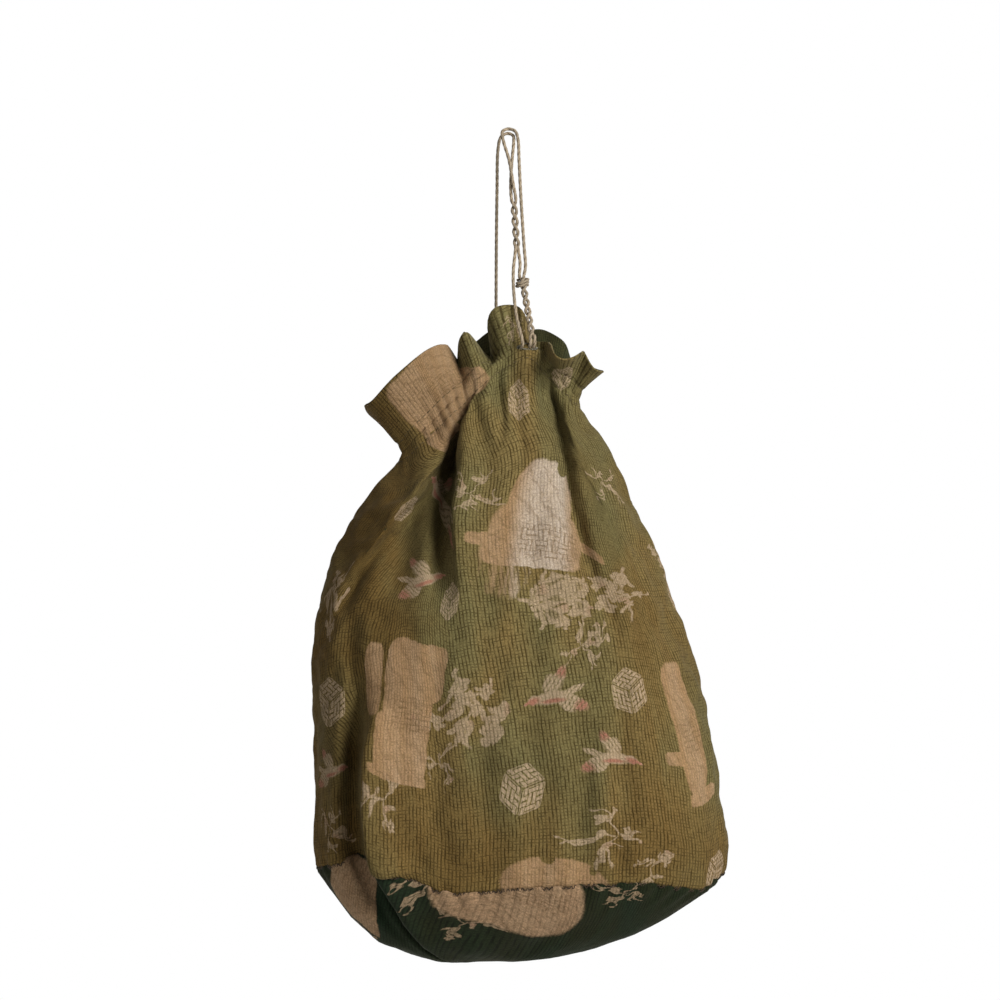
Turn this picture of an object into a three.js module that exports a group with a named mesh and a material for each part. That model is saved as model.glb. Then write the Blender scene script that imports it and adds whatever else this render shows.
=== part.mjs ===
import * as THREE from 'three'

// A drawstring pouch of thin printed cloth, drawn shut and hanging from its two cords.
// Millimetres, Z up, the printed front faces -Y. The origin is where the loops hang.
// Angles run round the pouch: 0 is the middle of the front, -90 its left side, 90 its right.

// Mouth: the gathered casing and the frill above it.
const mouthLeft = -62
const mouthRight = 41
const mouthHalfDepth = 16
const frillWidth = 36
const casingWidth = 13
const gatherDepth = 2.2

// Cloth, thread and cord.
const clothThick = 1
const hemThick = 1.8
const casingThick = 3.4
const seamGap = 0.6
const cordThick = 2
const cordTwist = 13
const knotThick = 1.5
const knotTurns = 2.4
const threadThick = 0.7
const stitchReach = 2
const clearance = 0.3
const frontExitAngle = 25
const backExitAngle = 177
const frontSlit = 13
const backSlit = 7
const slitHeight = 2.2
const slitLift = 0.6

// How finely the cloth is divided.
const columns = 72
const frillRows = 7
const bodyRows = 28
const baseRows = 5
const stitchesPerColumn = 1
const closingColumn = 60

// Outline of the hanging bag seen from the front: height, left edge, right edge, half depth.
const outline = [
  [-125, -62, 41, 15],
  [-161, -60, 41, 23],
  [-193, -62, 61, 33],
  [-221, -85, 74, 42],
  [-257, -106, 91, 51],
  [-302, -116, 107, 59],
  [-347, -117, 119, 64],
  [-401, -115, 128, 66],
  [-432, -115, 130, 65],
  [-456, -112, 127, 61],
]

// Height of the seam between bag and base, by angle.
const seamLine = [
  [-180, -447],
  [-135, -449],
  [-90, -442],
  [-62, -438],
  [-42, -433],
  [-28, -444],
  [-18, -452],
  [0, -449],
  [32, -447],
  [58, -452],
  [90, -443],
  [130, -448],
  [180, -447],
]

// Height of the casing, by angle. It hangs from the two places where the cords come out.
const mouthLine = [
  [-180, -139],
  [-158, -149],
  [-134, -172],
  [-113, -187],
  [-90, -193],
  [-66, -188],
  [-43, -175],
  [-25, -162],
  [-5, -147],
  [13, -135],
  [27, -131],
  [43, -143],
  [63, -154],
  [90, -161],
  [118, -157],
  [145, -146],
  [165, -139],
  [180, -139],
]

// Lowest point of the sagging base.
const baseMiddle = [-20, -6, -497]

// Frill: the way the cloth runs from the casing to the hem, and the wave of the hem, by angle.
const frillLine = [
  [-180, 0, 0.05, 0.55, -3],
  [-171, -0.08, 0.3, 0.45, 0],
  [-158, -0.15, 0.75, 0.4, 6],
  [-135, -0.3, 0.8, 0.3, -6],
  [-113, -0.5, 0.5, 0.5, 5],
  [-90, -0.62, 0.05, 0.8, 0],
  [-66, -0.62, -0.16, 0.77, 2],
  [-43, -0.6, -0.28, 0.76, 4],
  [-27, -0.54, -0.3, 0.8, 2],
  [-17, -0.42, -0.12, 0.62, -6],
  [-6, -0.3, -0.2, 0.76, 5],
  [3, -0.26, 0.24, 0.4, -7],
  [12, -0.28, 0.08, 0.72, 5],
  [21, -0.06, 0.24, 0.66, 3],
  [29, 0, 0.46, 0.26, -4],
  [36, 0.08, 0.1, 0.3, -4],
  [45, 0.14, -0.62, 0.4, 6],
  [54, 0.2, -0.62, 0.46, 6],
  [64, 0.25, -0.4, 0.5, -8],
  [76, 0.3, -0.24, 0.52, 6],
  [90, 0.32, 0.1, 0.54, 2],
  [104, 0.3, 0.45, 0.5, -7],
  [118, 0.22, 0.65, 0.5, 6],
  [132, 0.15, 0.5, 0.68, -5],
  [146, 0.1, 0.42, 0.85, 5],
  [158, 0.05, 0.5, 0.72, 4],
  [169, 0.05, 0.1, 0.6, 0],
  [180, 0, 0.05, 0.55, -3],
]

// Folds of the front, each a line down the cloth: height, place across.
const shoulderFold = {
  line: [[-152, -22], [-165, -30], [-178, -41], [-209, -61], [-229, -78], [-254, -99], [-285, -116]],
  wide: 10,
  out: 13,
  lean: 6,
  fade: [-146, -170, -232, -285],
}
const shoulderHollow = {
  line: [[-152, -21], [-178, -28], [-209, -42], [-229, -52], [-254, -64], [-300, -70]],
  wide: 11,
  out: -19,
  lean: 0,
  fade: [-150, -170, -205, -290],
}
const panelEdge = {
  line: [[-150, -12], [-178, -19], [-203, -24], [-233, -25], [-293, -26]],
  wide: 8,
  out: 3.5,
  lean: -4,
  fade: [-140, -165, -225, -300],
}
const lowFold = {
  line: [[-330, -72], [-380, -74], [-420, -73], [-440, -66]],
  wide: 11,
  out: 7,
  lean: -6,
  fade: [-325, -380, -436, -450],
}
const lowHollow = {
  line: [[-330, -90], [-380, -92], [-425, -92], [-445, -86]],
  wide: 9,
  out: -9,
  lean: 0,
  fade: [-320, -380, -440, -470],
}
const rightHollow = {
  line: [[-152, 26], [-179, 33], [-203, 39], [-233, 47], [-281, 62], [-341, 86], [-431, 92]],
  wide: 9,
  out: -5,
  lean: 0,
  fade: [-142, -165, -240, -420],
}
const rightRoll = {
  line: [[-152, 32], [-179, 45], [-203, 55], [-239, 78], [-305, 99], [-365, 108]],
  wide: 8,
  out: 4,
  lean: 2,
  fade: [-142, -170, -300, -380],
}
const midHollow = {
  line: [[-330, 38], [-400, 43], [-450, 44]],
  wide: 9,
  out: -2.5,
  lean: 0,
  fade: [-320, -400, -445, -470],
}
const leftCrease = {
  line: [[-300, -18], [-380, -12], [-450, -8]],
  wide: 9,
  out: -2,
  lean: 0,
  fade: [-290, -360, -440, -470],
}
const frontFolds = [
  shoulderFold,
  shoulderHollow,
  panelEdge,
  lowFold,
  lowHollow,
  rightHollow,
  rightRoll,
  midHollow,
  leftCrease,
]

// Folds of the back.
const backFolds = [
  { line: [[-150, 6], [-230, -12], [-330, -30]], wide: 10, out: -6, lean: 0, fade: [-140, -175, -240, -330] },
  { line: [[-150, -14], [-220, -44], [-330, -76]], wide: 11, out: 5, lean: -3, fade: [-140, -180, -250, -340] },
  { line: [[-150, 22], [-230, 36], [-340, 58]], wide: 10, out: 5, lean: 3, fade: [-140, -180, -250, -360] },
  { line: [[-200, 50], [-300, 78], [-420, 90]], wide: 11, out: -6, lean: 0, fade: [-180, -240, -330, -430] },
  { line: [[-330, -40], [-400, -48], [-450, -50]], wide: 12, out: -5, lean: 0, fade: [-310, -380, -440, -470] },
]

const degrees = Math.PI / 180

function smooth(from, to, value) {
  const t = THREE.MathUtils.clamp((value - from) / (to - from), 0, 1)
  return t * t * (3 - 2 * t)
}

// Reads a column of a table whose first column rises or falls, along a smooth curve.
function along(table, value, column) {
  const rising = table[table.length - 1][0] > table[0][0]
  const sign = rising ? 1 : -1
  let i = 0
  while (i < table.length - 2 && sign * table[i + 1][0] <= sign * value) i++
  const a = table[i]
  const b = table[i + 1]
  const before = table[Math.max(i - 1, 0)]
  const after = table[Math.min(i + 2, table.length - 1)]
  const span = b[0] - a[0]
  const t = THREE.MathUtils.clamp((value - a[0]) / span, 0, 1)
  const slopeA = ((b[column] - before[column]) / (b[0] - before[0])) * span
  const slopeB = ((after[column] - a[column]) / (after[0] - a[0])) * span
  const t2 = t * t
  const t3 = t2 * t
  return (
    (2 * t3 - 3 * t2 + 1) * a[column] +
    (t3 - 2 * t2 + t) * slopeA +
    (3 * t2 - 2 * t3) * b[column] +
    (t3 - t2) * slopeB
  )
}

function casingPoint(angle) {
  return new THREE.Vector3(
    (mouthLeft + mouthRight) / 2 + ((mouthRight - mouthLeft) / 2) * Math.sin(angle * degrees),
    -mouthHalfDepth * Math.cos(angle * degrees),
    along(mouthLine, wrap(angle), 1),
  )
}

function casingOut(angle) {
  const before = casingPoint(angle - 0.5)
  const after = casingPoint(angle + 0.5)
  const run = after.sub(before)
  return new THREE.Vector3(run.y, -run.x, 0).normalize()
}

// Small gathers at the casing, dying out towards the two ends of the mouth.
function gather(angle) {
  const front = Math.abs(Math.cos(angle * degrees))
  const wave = 0.6 * Math.cos(13 * angle * degrees + 0.7) + 0.4 * Math.cos(9 * angle * degrees + 2)
  return gatherDepth * wave * front
}

// The frill, from the casing at 0 to the hem at 1.
function frillPoint(angle, share) {
  const point = casingPoint(angle)
  const up = new THREE.Vector3(along(frillLine, angle, 1), along(frillLine, angle, 2), along(frillLine, angle, 3))
  const run = casingPoint(angle + 0.5).sub(casingPoint(angle - 0.5))
  const out = run.cross(up).normalize()
  const wave = along(frillLine, angle, 4)
  point.addScaledVector(up, frillWidth * share)
  point.addScaledVector(out, wave * share ** 1.4 + 2 * share * share)
  point.addScaledVector(casingOut(angle), gather(angle) * (1 - share))
  return point
}

// Pushes a point across a fold line and out of the cloth.
function addFold(point, fold, x, z, side, weight) {
  const middle = along(fold.line, z, 1)
  const slope = (along(fold.line, z - 2, 1) - along(fold.line, z + 2, 1)) / 4
  const level = 1 / Math.hypot(1, slope)
  const across = ((x - middle) * level) / fold.wide
  const fade = fold.fade
  const strong = smooth(fade[0], fade[1], z) * (1 - smooth(fade[2], fade[3], z)) * weight
  const bump = Math.exp(-across * across) * strong
  point.x += fold.lean * bump * level
  point.z += fold.lean * bump * level * slope
  point.y += side * fold.out * bump
}

// The bag below the casing, from the casing at 0 to the base seam at 1.
function bagPoint(angle, share) {
  const top = casingPoint(angle)
  const sine = Math.sin(angle * degrees)
  const cosine = Math.cos(angle * degrees)
  const low = along(seamLine, angle, 1)
  const z = THREE.MathUtils.lerp(top.z, low, share)
  const square = 0.16 * smooth(0, 0.8, share)
  const place = (height) => {
    const left = along(outline, height, 1)
    const right = along(outline, height, 2)
    const deep = along(outline, height, 3)
    return new THREE.Vector2(
      (left + right) / 2 + ((right - left) / 2) * sine * (1 + square * cosine * cosine),
      -deep * cosine * (1 + square * sine * sine),
    )
  }
  const flat = place(z)
  const start = place(top.z)
  const held = (1 - share) ** 5
  const point = new THREE.Vector3(
    flat.x + (top.x - start.x) * held,
    flat.y + (top.y - start.y) * held,
    z,
  )
  const x = point.x
  const free = smooth(0, 0.07, share)
  const front = smooth(0.02, 0.3, cosine) * free
  const back = smooth(0.02, 0.3, -cosine) * free
  for (const fold of frontFolds) addFold(point, fold, x, z, -1, front)
  for (const fold of backFolds) addFold(point, fold, x, z, 1, back)
  point.addScaledVector(casingOut(angle), gather(angle) * Math.exp(-share / 0.13))
  return point
}

// The base, from the seam at 0 to its lowest point at 1.
function basePoint(angle, share) {
  const rim = bagPoint(angle, 1)
  const low = new THREE.Vector3(...baseMiddle)
  const round = 2.7 - 0.3 * Math.sin(angle * degrees)
  const near = 1 - share
  return new THREE.Vector3(
    THREE.MathUtils.lerp(low.x, rim.x, near),
    THREE.MathUtils.lerp(low.y, rim.y, near),
    THREE.MathUtils.lerp(low.z, rim.z, near ** round),
  )
}

// Columns stand closer together on the left of the front, where the folds are deepest.
function columnAngle(i) {
  const even = 360 * (i / columns) - 180
  return even - 20 * Math.sin((even + 40) * degrees) - 20 * Math.sin(140 * degrees)
}

function wrap(angle) {
  return ((((angle + 180) % 360) + 360) % 360) - 180
}

// One skin on each side of a sheet of points, joined round the free edges.
// A closed end is a row that has shrunk to one point.
function sheetSolid(rows, thick, closedEnd) {
  const count = rows[0].length
  const last = rows.length - 1
  const normals = rows.map((row) => row.map(() => new THREE.Vector3()))
  const face = (a, b, c) => {
    const one = rows[b[0]][b[1]].clone().sub(rows[a[0]][a[1]])
    const two = rows[c[0]][c[1]].clone().sub(rows[a[0]][a[1]])
    const normal = one.cross(two)
    for (const [r, i] of [a, b, c]) normals[r][i].add(normal)
  }
  for (let r = 0; r < last; r++) {
    for (let i = 0; i < count; i++) {
      const next = (i + 1) % count
      face([r, i], [r + 1, i], [r + 1, next])
      face([r, i], [r + 1, next], [r, next])
    }
  }
  if (closedEnd) {
    const sum = new THREE.Vector3()
    for (const normal of normals[last]) sum.add(normal)
    for (const normal of normals[last]) normal.copy(sum)
  }
  const outer = rows.map((row, r) =>
    row.map((point, i) => point.clone().addScaledVector(normals[r][i].normalize(), thick[r] / 2)),
  )
  const inner = rows.map((row, r) => row.map((point, i) => point.clone().addScaledVector(normals[r][i], -thick[r] / 2)))
  const positions = []
  const indices = []
  for (const skin of [outer, inner]) {
    for (const row of skin) {
      for (const point of row) positions.push(point.x, point.y, point.z)
    }
  }
  const at = (skin, r, i) => (skin * (last + 1) + r) * count + (i % count)
  for (let r = 0; r < last; r++) {
    for (let i = 0; i < count; i++) {
      const corners = [at(0, r, i), at(0, r + 1, i), at(0, r + 1, i + 1), at(0, r, i + 1)]
      const under = [at(1, r, i), at(1, r + 1, i), at(1, r + 1, i + 1), at(1, r, i + 1)]
      indices.push(corners[0], corners[2], corners[3])
      indices.push(under[0], under[3], under[2])
      if (!closedEnd || r < last - 1) {
        indices.push(corners[0], corners[1], corners[2])
        indices.push(under[0], under[2], under[1])
      }
    }
  }
  for (let i = 0; i < count; i++) {
    indices.push(at(0, 0, i), at(0, 0, i + 1), at(1, 0, i + 1))
    indices.push(at(0, 0, i), at(1, 0, i + 1), at(1, 0, i))
    if (!closedEnd) {
      indices.push(at(0, last, i + 1), at(0, last, i), at(1, last, i))
      indices.push(at(0, last, i + 1), at(1, last, i), at(1, last, i + 1))
    }
  }
  const geometry = new THREE.BufferGeometry()
  geometry.setAttribute('position', new THREE.Float32BufferAttribute(positions, 3))
  geometry.setIndex(indices)
  geometry.computeVertexNormals()
  return { geometry, outer }
}

const group = new THREE.Group()

function add(name, geometry, colour, vertexColors = false) {
  const material = new THREE.MeshStandardMaterial({ color: colour, roughness: 0.9, vertexColors })
  const mesh = new THREE.Mesh(geometry, material)
  mesh.name = name
  group.add(mesh)
  return mesh
}

// Bag cloth: one sheet from the hem of the frill, through the casing, to the base seam.
const angles = Array.from({ length: columns }, (_, i) => wrap(columnAngle(i)))
const clothRows = []
const clothThicks = []
for (let r = 0; r < frillRows; r++) {
  const share = 1 - r / frillRows
  clothRows.push(angles.map((angle) => frillPoint(angle, share)))
  clothThicks.push(hemThick)
}
const casingShare = casingWidth / 2 / frillWidth
clothThicks[frillRows - 1] = THREE.MathUtils.lerp(casingThick, hemThick, casingShare)
clothRows.push(angles.map((angle) => bagPoint(angle, 0)))
clothThicks.push(casingThick)
for (let r = 1; r <= bodyRows; r++) {
  const even = r / bodyRows
  const share = even ** 1.3 - 0.03 * Math.sin(2 * Math.PI * even)
  clothRows.push(angles.map((angle) => bagPoint(angle, share)))
  clothThicks.push(THREE.MathUtils.lerp(casingThick, clothThick, smooth(0, 0.035, share)))
}
const bag = sheetSolid(clothRows, clothThicks, false)
add('bag_cloth', bag.geometry, 0x6f6847)

// Base cloth: starts a hair below the bag cloth and sags to one low point.
const baseSheet = []
const baseThicks = []
for (let r = 0; r <= baseRows; r++) {
  const share = r / baseRows
  const row = angles.map((angle) => basePoint(angle, share))
  if (r === 0) for (const point of row) point.z -= seamGap
  baseSheet.push(row)
  baseThicks.push(clothThick)
}
const base = sheetSolid(baseSheet, baseThicks, true)
add('base_cloth', base.geometry, 0x2c331d)

// A square thread laid along points, each with the way that faces out of the cloth.
function threadSolid(points, outs, thick, closed) {
  const count = points.length
  const positions = []
  const indices = []
  for (let i = 0; i < count; i++) {
    const before = closed ? points[(i + count - 1) % count] : points[Math.max(i - 1, 0)]
    const after = closed ? points[(i + 1) % count] : points[Math.min(i + 1, count - 1)]
    const run = after.clone().sub(before).normalize()
    const aside = run.clone().cross(outs[i]).normalize()
    const out = aside.clone().cross(run).normalize()
    for (const [a, o] of [[-1, -1], [1, -1], [1, 1], [-1, 1]]) {
      const corner = points[i].clone()
      corner.addScaledVector(aside, (a * thick) / 2).addScaledVector(out, (o * thick) / 2)
      positions.push(corner.x, corner.y, corner.z)
    }
  }
  const rings = closed ? count : count - 1
  for (let i = 0; i < rings; i++) {
    for (let k = 0; k < 4; k++) {
      const a = i * 4 + k
      const b = i * 4 + ((k + 1) % 4)
      const c = ((i + 1) % count) * 4 + ((k + 1) % 4)
      const d = ((i + 1) % count) * 4 + k
      indices.push(a, c, b, a, d, c)
    }
  }
  if (!closed) {
    const end = (count - 1) * 4
    indices.push(0, 1, 2, 0, 2, 3)
    indices.push(end, end + 2, end + 1, end, end + 3, end + 2)
  }
  const geometry = new THREE.BufferGeometry()
  geometry.setAttribute('position', new THREE.Float32BufferAttribute(positions, 3))
  geometry.setIndex(indices)
  geometry.computeVertexNormals()
  return geometry
}

// A place on the outer skin of a cloth, between two rows and two columns, and the way out of it.
function onSkin(skin, row, column) {
  const r = THREE.MathUtils.clamp(Math.floor(row), 0, skin.length - 2)
  const down = row - r
  const i = ((Math.floor(column) % columns) + columns) % columns
  const next = (i + 1) % columns
  const aside = column - Math.floor(column)
  const start = skin[r][i]
  const far = skin[r + 1][next]
  const turn = down >= aside ? skin[r + 1][i] : skin[r][next]
  const first = turn.clone().sub(start)
  const second = far.clone().sub(turn)
  const point = start.clone()
  if (down >= aside) point.addScaledVector(first, down).addScaledVector(second, aside)
  else point.addScaledVector(first, aside).addScaledVector(second, down)
  const out = down >= aside ? first.cross(second) : second.cross(first)
  return { point, out: out.normalize() }
}

function rowHeight(skin, row, column) {
  return onSkin(skin, row, column).point.distanceTo(onSkin(skin, row + 1, column).point)
}

// A place with the average way out of the four faces that meet near it.
function smoothSkin(skin, row, column) {
  const place = onSkin(skin, row, column)
  for (const [r, c] of [[0.3, 0.4], [-0.3, 0.4], [0.3, -0.4], [-0.3, -0.4]]) {
    place.out.add(onSkin(skin, THREE.MathUtils.clamp(row + r, 0, skin.length - 1.01), column + c).out)
  }
  place.out.normalize()
  return place
}

// Overcast thread that whips the edge of the bag to the edge of the base, all the way round.
const threadLift = threadThick / 2 + clearance
const seamRow = bag.outer.length - 1
const seamPoints = []
const seamOuts = []
for (let i = 0; i < columns * stitchesPerColumn; i++) {
  for (let k = 0; k < 4; k++) {
    const column = (i + (k + 0.5) / 4) / stitchesPerColumn
    const above = onSkin(bag.outer, seamRow, column)
    const below = onSkin(base.outer, 0, column)
    const out = above.out.clone().add(below.out).normalize()
    const point = above.point.clone().lerp(below.point, 0.5)
    if (k === 0) {
      const rise = stitchReach / rowHeight(bag.outer, seamRow - 1, column)
      const high = onSkin(bag.outer, seamRow - rise, column)
      point.copy(high.point)
      out.copy(high.out)
    }
    if (k === 2) {
      const fall = stitchReach / rowHeight(base.outer, 0, column)
      const low = onSkin(base.outer, fall, column)
      point.copy(low.point)
      out.copy(low.out)
    }
    seamPoints.push(point.addScaledVector(out, threadLift * 1.3))
    seamOuts.push(out)
  }
}
add('base_seam_thread', threadSolid(seamPoints, seamOuts, threadThick, true), 0x1d160e)

// Sewing above and below the channel of the casing.
for (const [name, row] of [['casing_thread_upper', frillRows - 1.7], ['casing_thread_lower', frillRows + 2.1]]) {
  const points = []
  const outs = []
  for (let i = 0; i < columns; i++) {
    const place = smoothSkin(bag.outer, row, i)
    points.push(place.point.addScaledVector(place.out, threadLift * 1.5))
    outs.push(place.out)
  }
  add(name, threadSolid(points, outs, threadThick, true), 0x3a3322)
}

// Sewing that closes the bag cloth down one side of the back.
const closingPoints = []
const closingOuts = []
for (let row = frillRows + 3; row < seamRow; row++) {
  const place = smoothSkin(bag.outer, row, closingColumn)
  closingPoints.push(place.point.addScaledVector(place.out, threadLift * 1.4))
  closingOuts.push(place.out)
}
add('closing_seam_thread', threadSolid(closingPoints, closingOuts, threadThick, false), 0x3a3322)

// Where the cords leave the casing: a worked slit at the front and one at the back.
function exitAt(angle) {
  let column = 0
  while (wrap(columnAngle(column + 1) - angle) < 0 || wrap(columnAngle(column) - angle) > 0) column++
  const part = -wrap(columnAngle(column) - angle) / wrap(columnAngle(column + 1) - columnAngle(column))
  const place = smoothSkin(bag.outer, frillRows, column + part)
  place.column = column + part
  place.across = new THREE.Vector3(0, 0, 1).cross(place.out).normalize()
  place.up = place.out.clone().cross(place.across).normalize()
  return place
}

const frontExit = exitAt(frontExitAngle)
const backExit = exitAt(backExitAngle)
for (const [name, place, half] of [
  ['front_slit_thread', frontExit, frontSlit / 2],
  ['back_slit_thread', backExit, backSlit / 2],
]) {
  const points = []
  const outs = []
  const width = onSkin(bag.outer, frillRows, place.column - 1).point.distanceTo(place.point)
  const over = rowHeight(bag.outer, frillRows - 1, place.column)
  const under = rowHeight(bag.outer, frillRows, place.column)
  for (let i = 0; i < 18; i++) {
    const turn = (i / 18) * Math.PI * 2
    const rise = slitHeight * Math.sin(turn)
    const row = frillRows - rise / (rise > 0 ? over : under)
    const spot = smoothSkin(bag.outer, row, place.column + (half / width) * Math.cos(turn))
    points.push(spot.point.addScaledVector(spot.out, threadThick * 0.65 + slitLift))
    outs.push(spot.out)
  }
  add(name, threadSolid(points, outs, threadThick * 1.3, true), 0x25201a)
}

// A round cord along a smooth line.
function cordSolid(points, thick, sides, steps) {
  const route = new THREE.CatmullRomCurve3(points, false, 'centripetal')
  const shape = new THREE.Shape()
  for (let i = 0; i < sides; i++) {
    const turn = (i / sides) * Math.PI * 2
    const x = (Math.cos(turn) * thick) / 2
    const y = (Math.sin(turn) * thick) / 2
    if (i === 0) shape.moveTo(x, y)
    else shape.lineTo(x, y)
  }
  return new THREE.ExtrudeGeometry(shape, { steps, extrudePath: route, bevelEnabled: false })
}

// The points of a cord's first few millimetres outside the cloth.
function leaving(place, aside, rise) {
  const start = place.point.clone().addScaledVector(place.across, aside)
  start.addScaledVector(place.out, slitLift + 0.1)
  const next = start.clone().addScaledVector(place.out, 2.7).addScaledVector(place.up, rise)
  return [start, next]
}

// Two strands laid round each other between two points. turn is where the first strand starts.
function laid(from, to, turns, turn, wide) {
  const steps = Math.max(4, Math.round(turns * 7))
  const strands = [[], []]
  for (let i = 0; i <= steps; i++) {
    const middle = from.clone().lerp(to, i / steps)
    for (const side of [0, 1]) {
      const a = turn + (i / steps) * turns * Math.PI * 2 + side * Math.PI
      strands[side].push(new THREE.Vector3(middle.x + wide * Math.cos(a), middle.y + wide * Math.sin(a), middle.z))
    }
  }
  return strands
}

const at = (x, y, z) => new THREE.Vector3(x, y, z)
const strandGap = cordThick * 0.63

// First cord: from the back slit, over the hanging place and down to the front slit.
// It lies round the second cord for a while on its way down.
const upperLay = laid(at(3.4, -8.2, -42), at(5.2, -10.4, -70), 28 / cordTwist, Math.PI, strandGap)
const firstRoute = [
  ...leaving(backExit, 0, 1),
  at(-7.4, 21.4, -125),
  at(-7.2, 18.4, -106),
  at(-7, 11, -70),
  at(-6.6, 5.6, -36),
  at(-5.9, 2.4, -10),
  at(-4.2, 2.3, -3.4),
  at(-0.4, 3.1, -1.2),
  at(3, 1.6, -2.6),
  at(3.4, -2.6, -7),
  at(2.4, -4.4, -18),
  at(1.6, -6.6, -33),
  ...upperLay[0],
  at(3.2, -14.6, -84),
  at(3.2, -16.6, -94),
  at(5, -18.3, -112),
  ...leaving(frontExit, -frontSlit * 0.3, 1.2).reverse(),
]
add('long_drawstring', cordSolid(firstRoute, cordThick, 8, 84), 0x9a9389)

// Second cord: up from the front slit through the knot, over the hanging place and back.
const knotAt = at(8.4, -13.2, -92)
const pairTop = knotAt.clone().add(at(-0.3, 0.4, 4))
const pairFoot = frontExit.point.clone().addScaledVector(frontExit.across, frontSlit * 0.16)
pairFoot.addScaledVector(frontExit.out, slitLift + 3).addScaledVector(frontExit.up, 5)
const pairTurns = Math.round((pairTop.z - pairFoot.z) / cordTwist) + 0.5
const lowerLay = laid(pairFoot, pairTop, pairTurns, 0, strandGap)
const secondRoute = [
  ...leaving(frontExit, frontSlit * 0.16 + strandGap, 1),
  ...lowerLay[0],
  at(7.2, -12, -80),
  ...upperLay[1].slice().reverse(),
  at(3, -8.8, -32),
  at(0.6, -7.4, -18),
  at(-2.6, -4.4, -7),
  at(-3.4, -0.4, -0.6),
  at(0, 2.9, 1.5),
  at(4.2, 0.6, 0),
  at(6, -3, -5.5),
  at(6.6, -5.4, -18),
  at(7.8, -7.6, -42),
  at(9.6, -9.8, -70),
  at(10.4, -11.8, -82),
  ...lowerLay[1].slice().reverse(),
  ...leaving(frontExit, frontSlit * 0.16 - strandGap, 1).reverse(),
]
add('knotted_drawstring', cordSolid(secondRoute, cordThick, 8, 108), 0x948c80)

// Knot: two turns drawn round the pair.
const knotPoints = []
for (let i = 0; i <= 22; i++) {
  const turn = (i / 22) * Math.PI * 2 * knotTurns
  const radius = strandGap + cordThick / 2 + 2 * clearance + knotThick / 2
  const rise = (i / 22 - 0.5) * knotTurns * (knotThick + 0.35)
  knotPoints.push(at(knotAt.x + radius * Math.cos(turn), knotAt.y + radius * Math.sin(turn), knotAt.z + rise))
}
add('cord_knot', cordSolid(knotPoints, knotThick, 7, 32), 0x8d8474)

export default group
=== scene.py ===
import math

import bmesh
import bpy
import numpy as np
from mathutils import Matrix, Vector, noise


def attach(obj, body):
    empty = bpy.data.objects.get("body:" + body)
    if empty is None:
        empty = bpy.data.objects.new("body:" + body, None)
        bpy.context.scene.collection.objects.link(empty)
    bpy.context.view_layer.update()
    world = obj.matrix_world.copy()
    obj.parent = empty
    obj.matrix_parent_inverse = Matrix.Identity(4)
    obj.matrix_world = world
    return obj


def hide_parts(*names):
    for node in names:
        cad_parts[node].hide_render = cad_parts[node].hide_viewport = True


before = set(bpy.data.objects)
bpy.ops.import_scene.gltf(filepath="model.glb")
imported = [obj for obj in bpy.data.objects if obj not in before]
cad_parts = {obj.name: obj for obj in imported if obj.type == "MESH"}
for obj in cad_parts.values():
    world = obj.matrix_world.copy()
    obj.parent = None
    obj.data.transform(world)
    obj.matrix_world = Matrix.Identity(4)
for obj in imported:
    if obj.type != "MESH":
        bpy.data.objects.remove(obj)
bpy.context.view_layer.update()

# Cloth pouch, drawn shut, hanging from two hemp cords. Metres, Z up, the printed front faces -Y.
# Angles run round the pouch: 0 is the middle of the front, -90 its left side, 90 its right.


def added(name, data):
    item = bpy.data.objects.new(name, data)
    bpy.context.collection.objects.link(item)
    return item


# camera, level with the pouch and straight in front of it
shot = {"x": -0.0048, "z": -0.2214, "away": 2.4, "wide": 0.6}
cameraData = bpy.data.cameras.new("camera")
cameraData.sensor_width = 36
cameraData.lens = 36 * shot["away"] / shot["wide"]
camera = added("camera", cameraData)
camera.location = (shot["x"], -shot["away"], shot["z"])
camera.rotation_euler = (math.radians(90), 0, 0)
bpy.context.scene.camera = camera
print("camera set")


def linear(red, green, blue):
    channels = []
    for part in (red, green, blue):
        part = part / 255
        channels.append(part / 12.92 if part <= 0.04045 else ((part + 0.055) / 1.055) ** 2.4)
    return (*channels, 1.0)


def smooth(start, end, value):
    t = np.clip((value - start) / (end - start), 0, 1)
    return t * t * (3 - 2 * t)


def bell(value, middle, wide):
    return np.exp(-((value - middle) / wide) ** 2)


def unit(values):
    return values / (np.linalg.norm(values, axis=-1, keepdims=True) + 1e-12)


# Distance of every place of a grid from its first one, along an axis.
def distances(places, axis=0):
    steps = np.linalg.norm(np.diff(places, axis=axis), axis=-1)
    start = np.zeros_like(steps.take([0], axis=axis))
    return np.concatenate([start, np.cumsum(steps, axis=axis)], axis=axis)


# Reads a column of a table along a smooth curve, for a whole array of places.
def readTable(table, values, column):
    rows = np.array(table if table[-1][0] > table[0][0] else table[::-1], float)
    keys, heights = rows[:, 0], rows[:, column]
    values = np.asarray(values, float)
    a = np.clip(np.searchsorted(keys, values, side="right") - 1, 0, len(keys) - 2)
    b = a + 1
    before, after = np.maximum(a - 1, 0), np.minimum(b + 1, len(keys) - 1)
    span = keys[b] - keys[a]
    t = np.clip((values - keys[a]) / span, 0, 1)
    slopeA = (heights[b] - heights[before]) / (keys[b] - keys[before]) * span
    slopeB = (heights[after] - heights[a]) / (keys[after] - keys[a]) * span
    t2, t3 = t * t, t * t * t
    return (
        (2 * t3 - 3 * t2 + 1) * heights[a]
        + (t3 - 2 * t2 + t) * slopeA
        + (3 * t2 - 2 * t3) * heights[b]
        + (t3 - t2) * slopeB
    )


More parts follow.
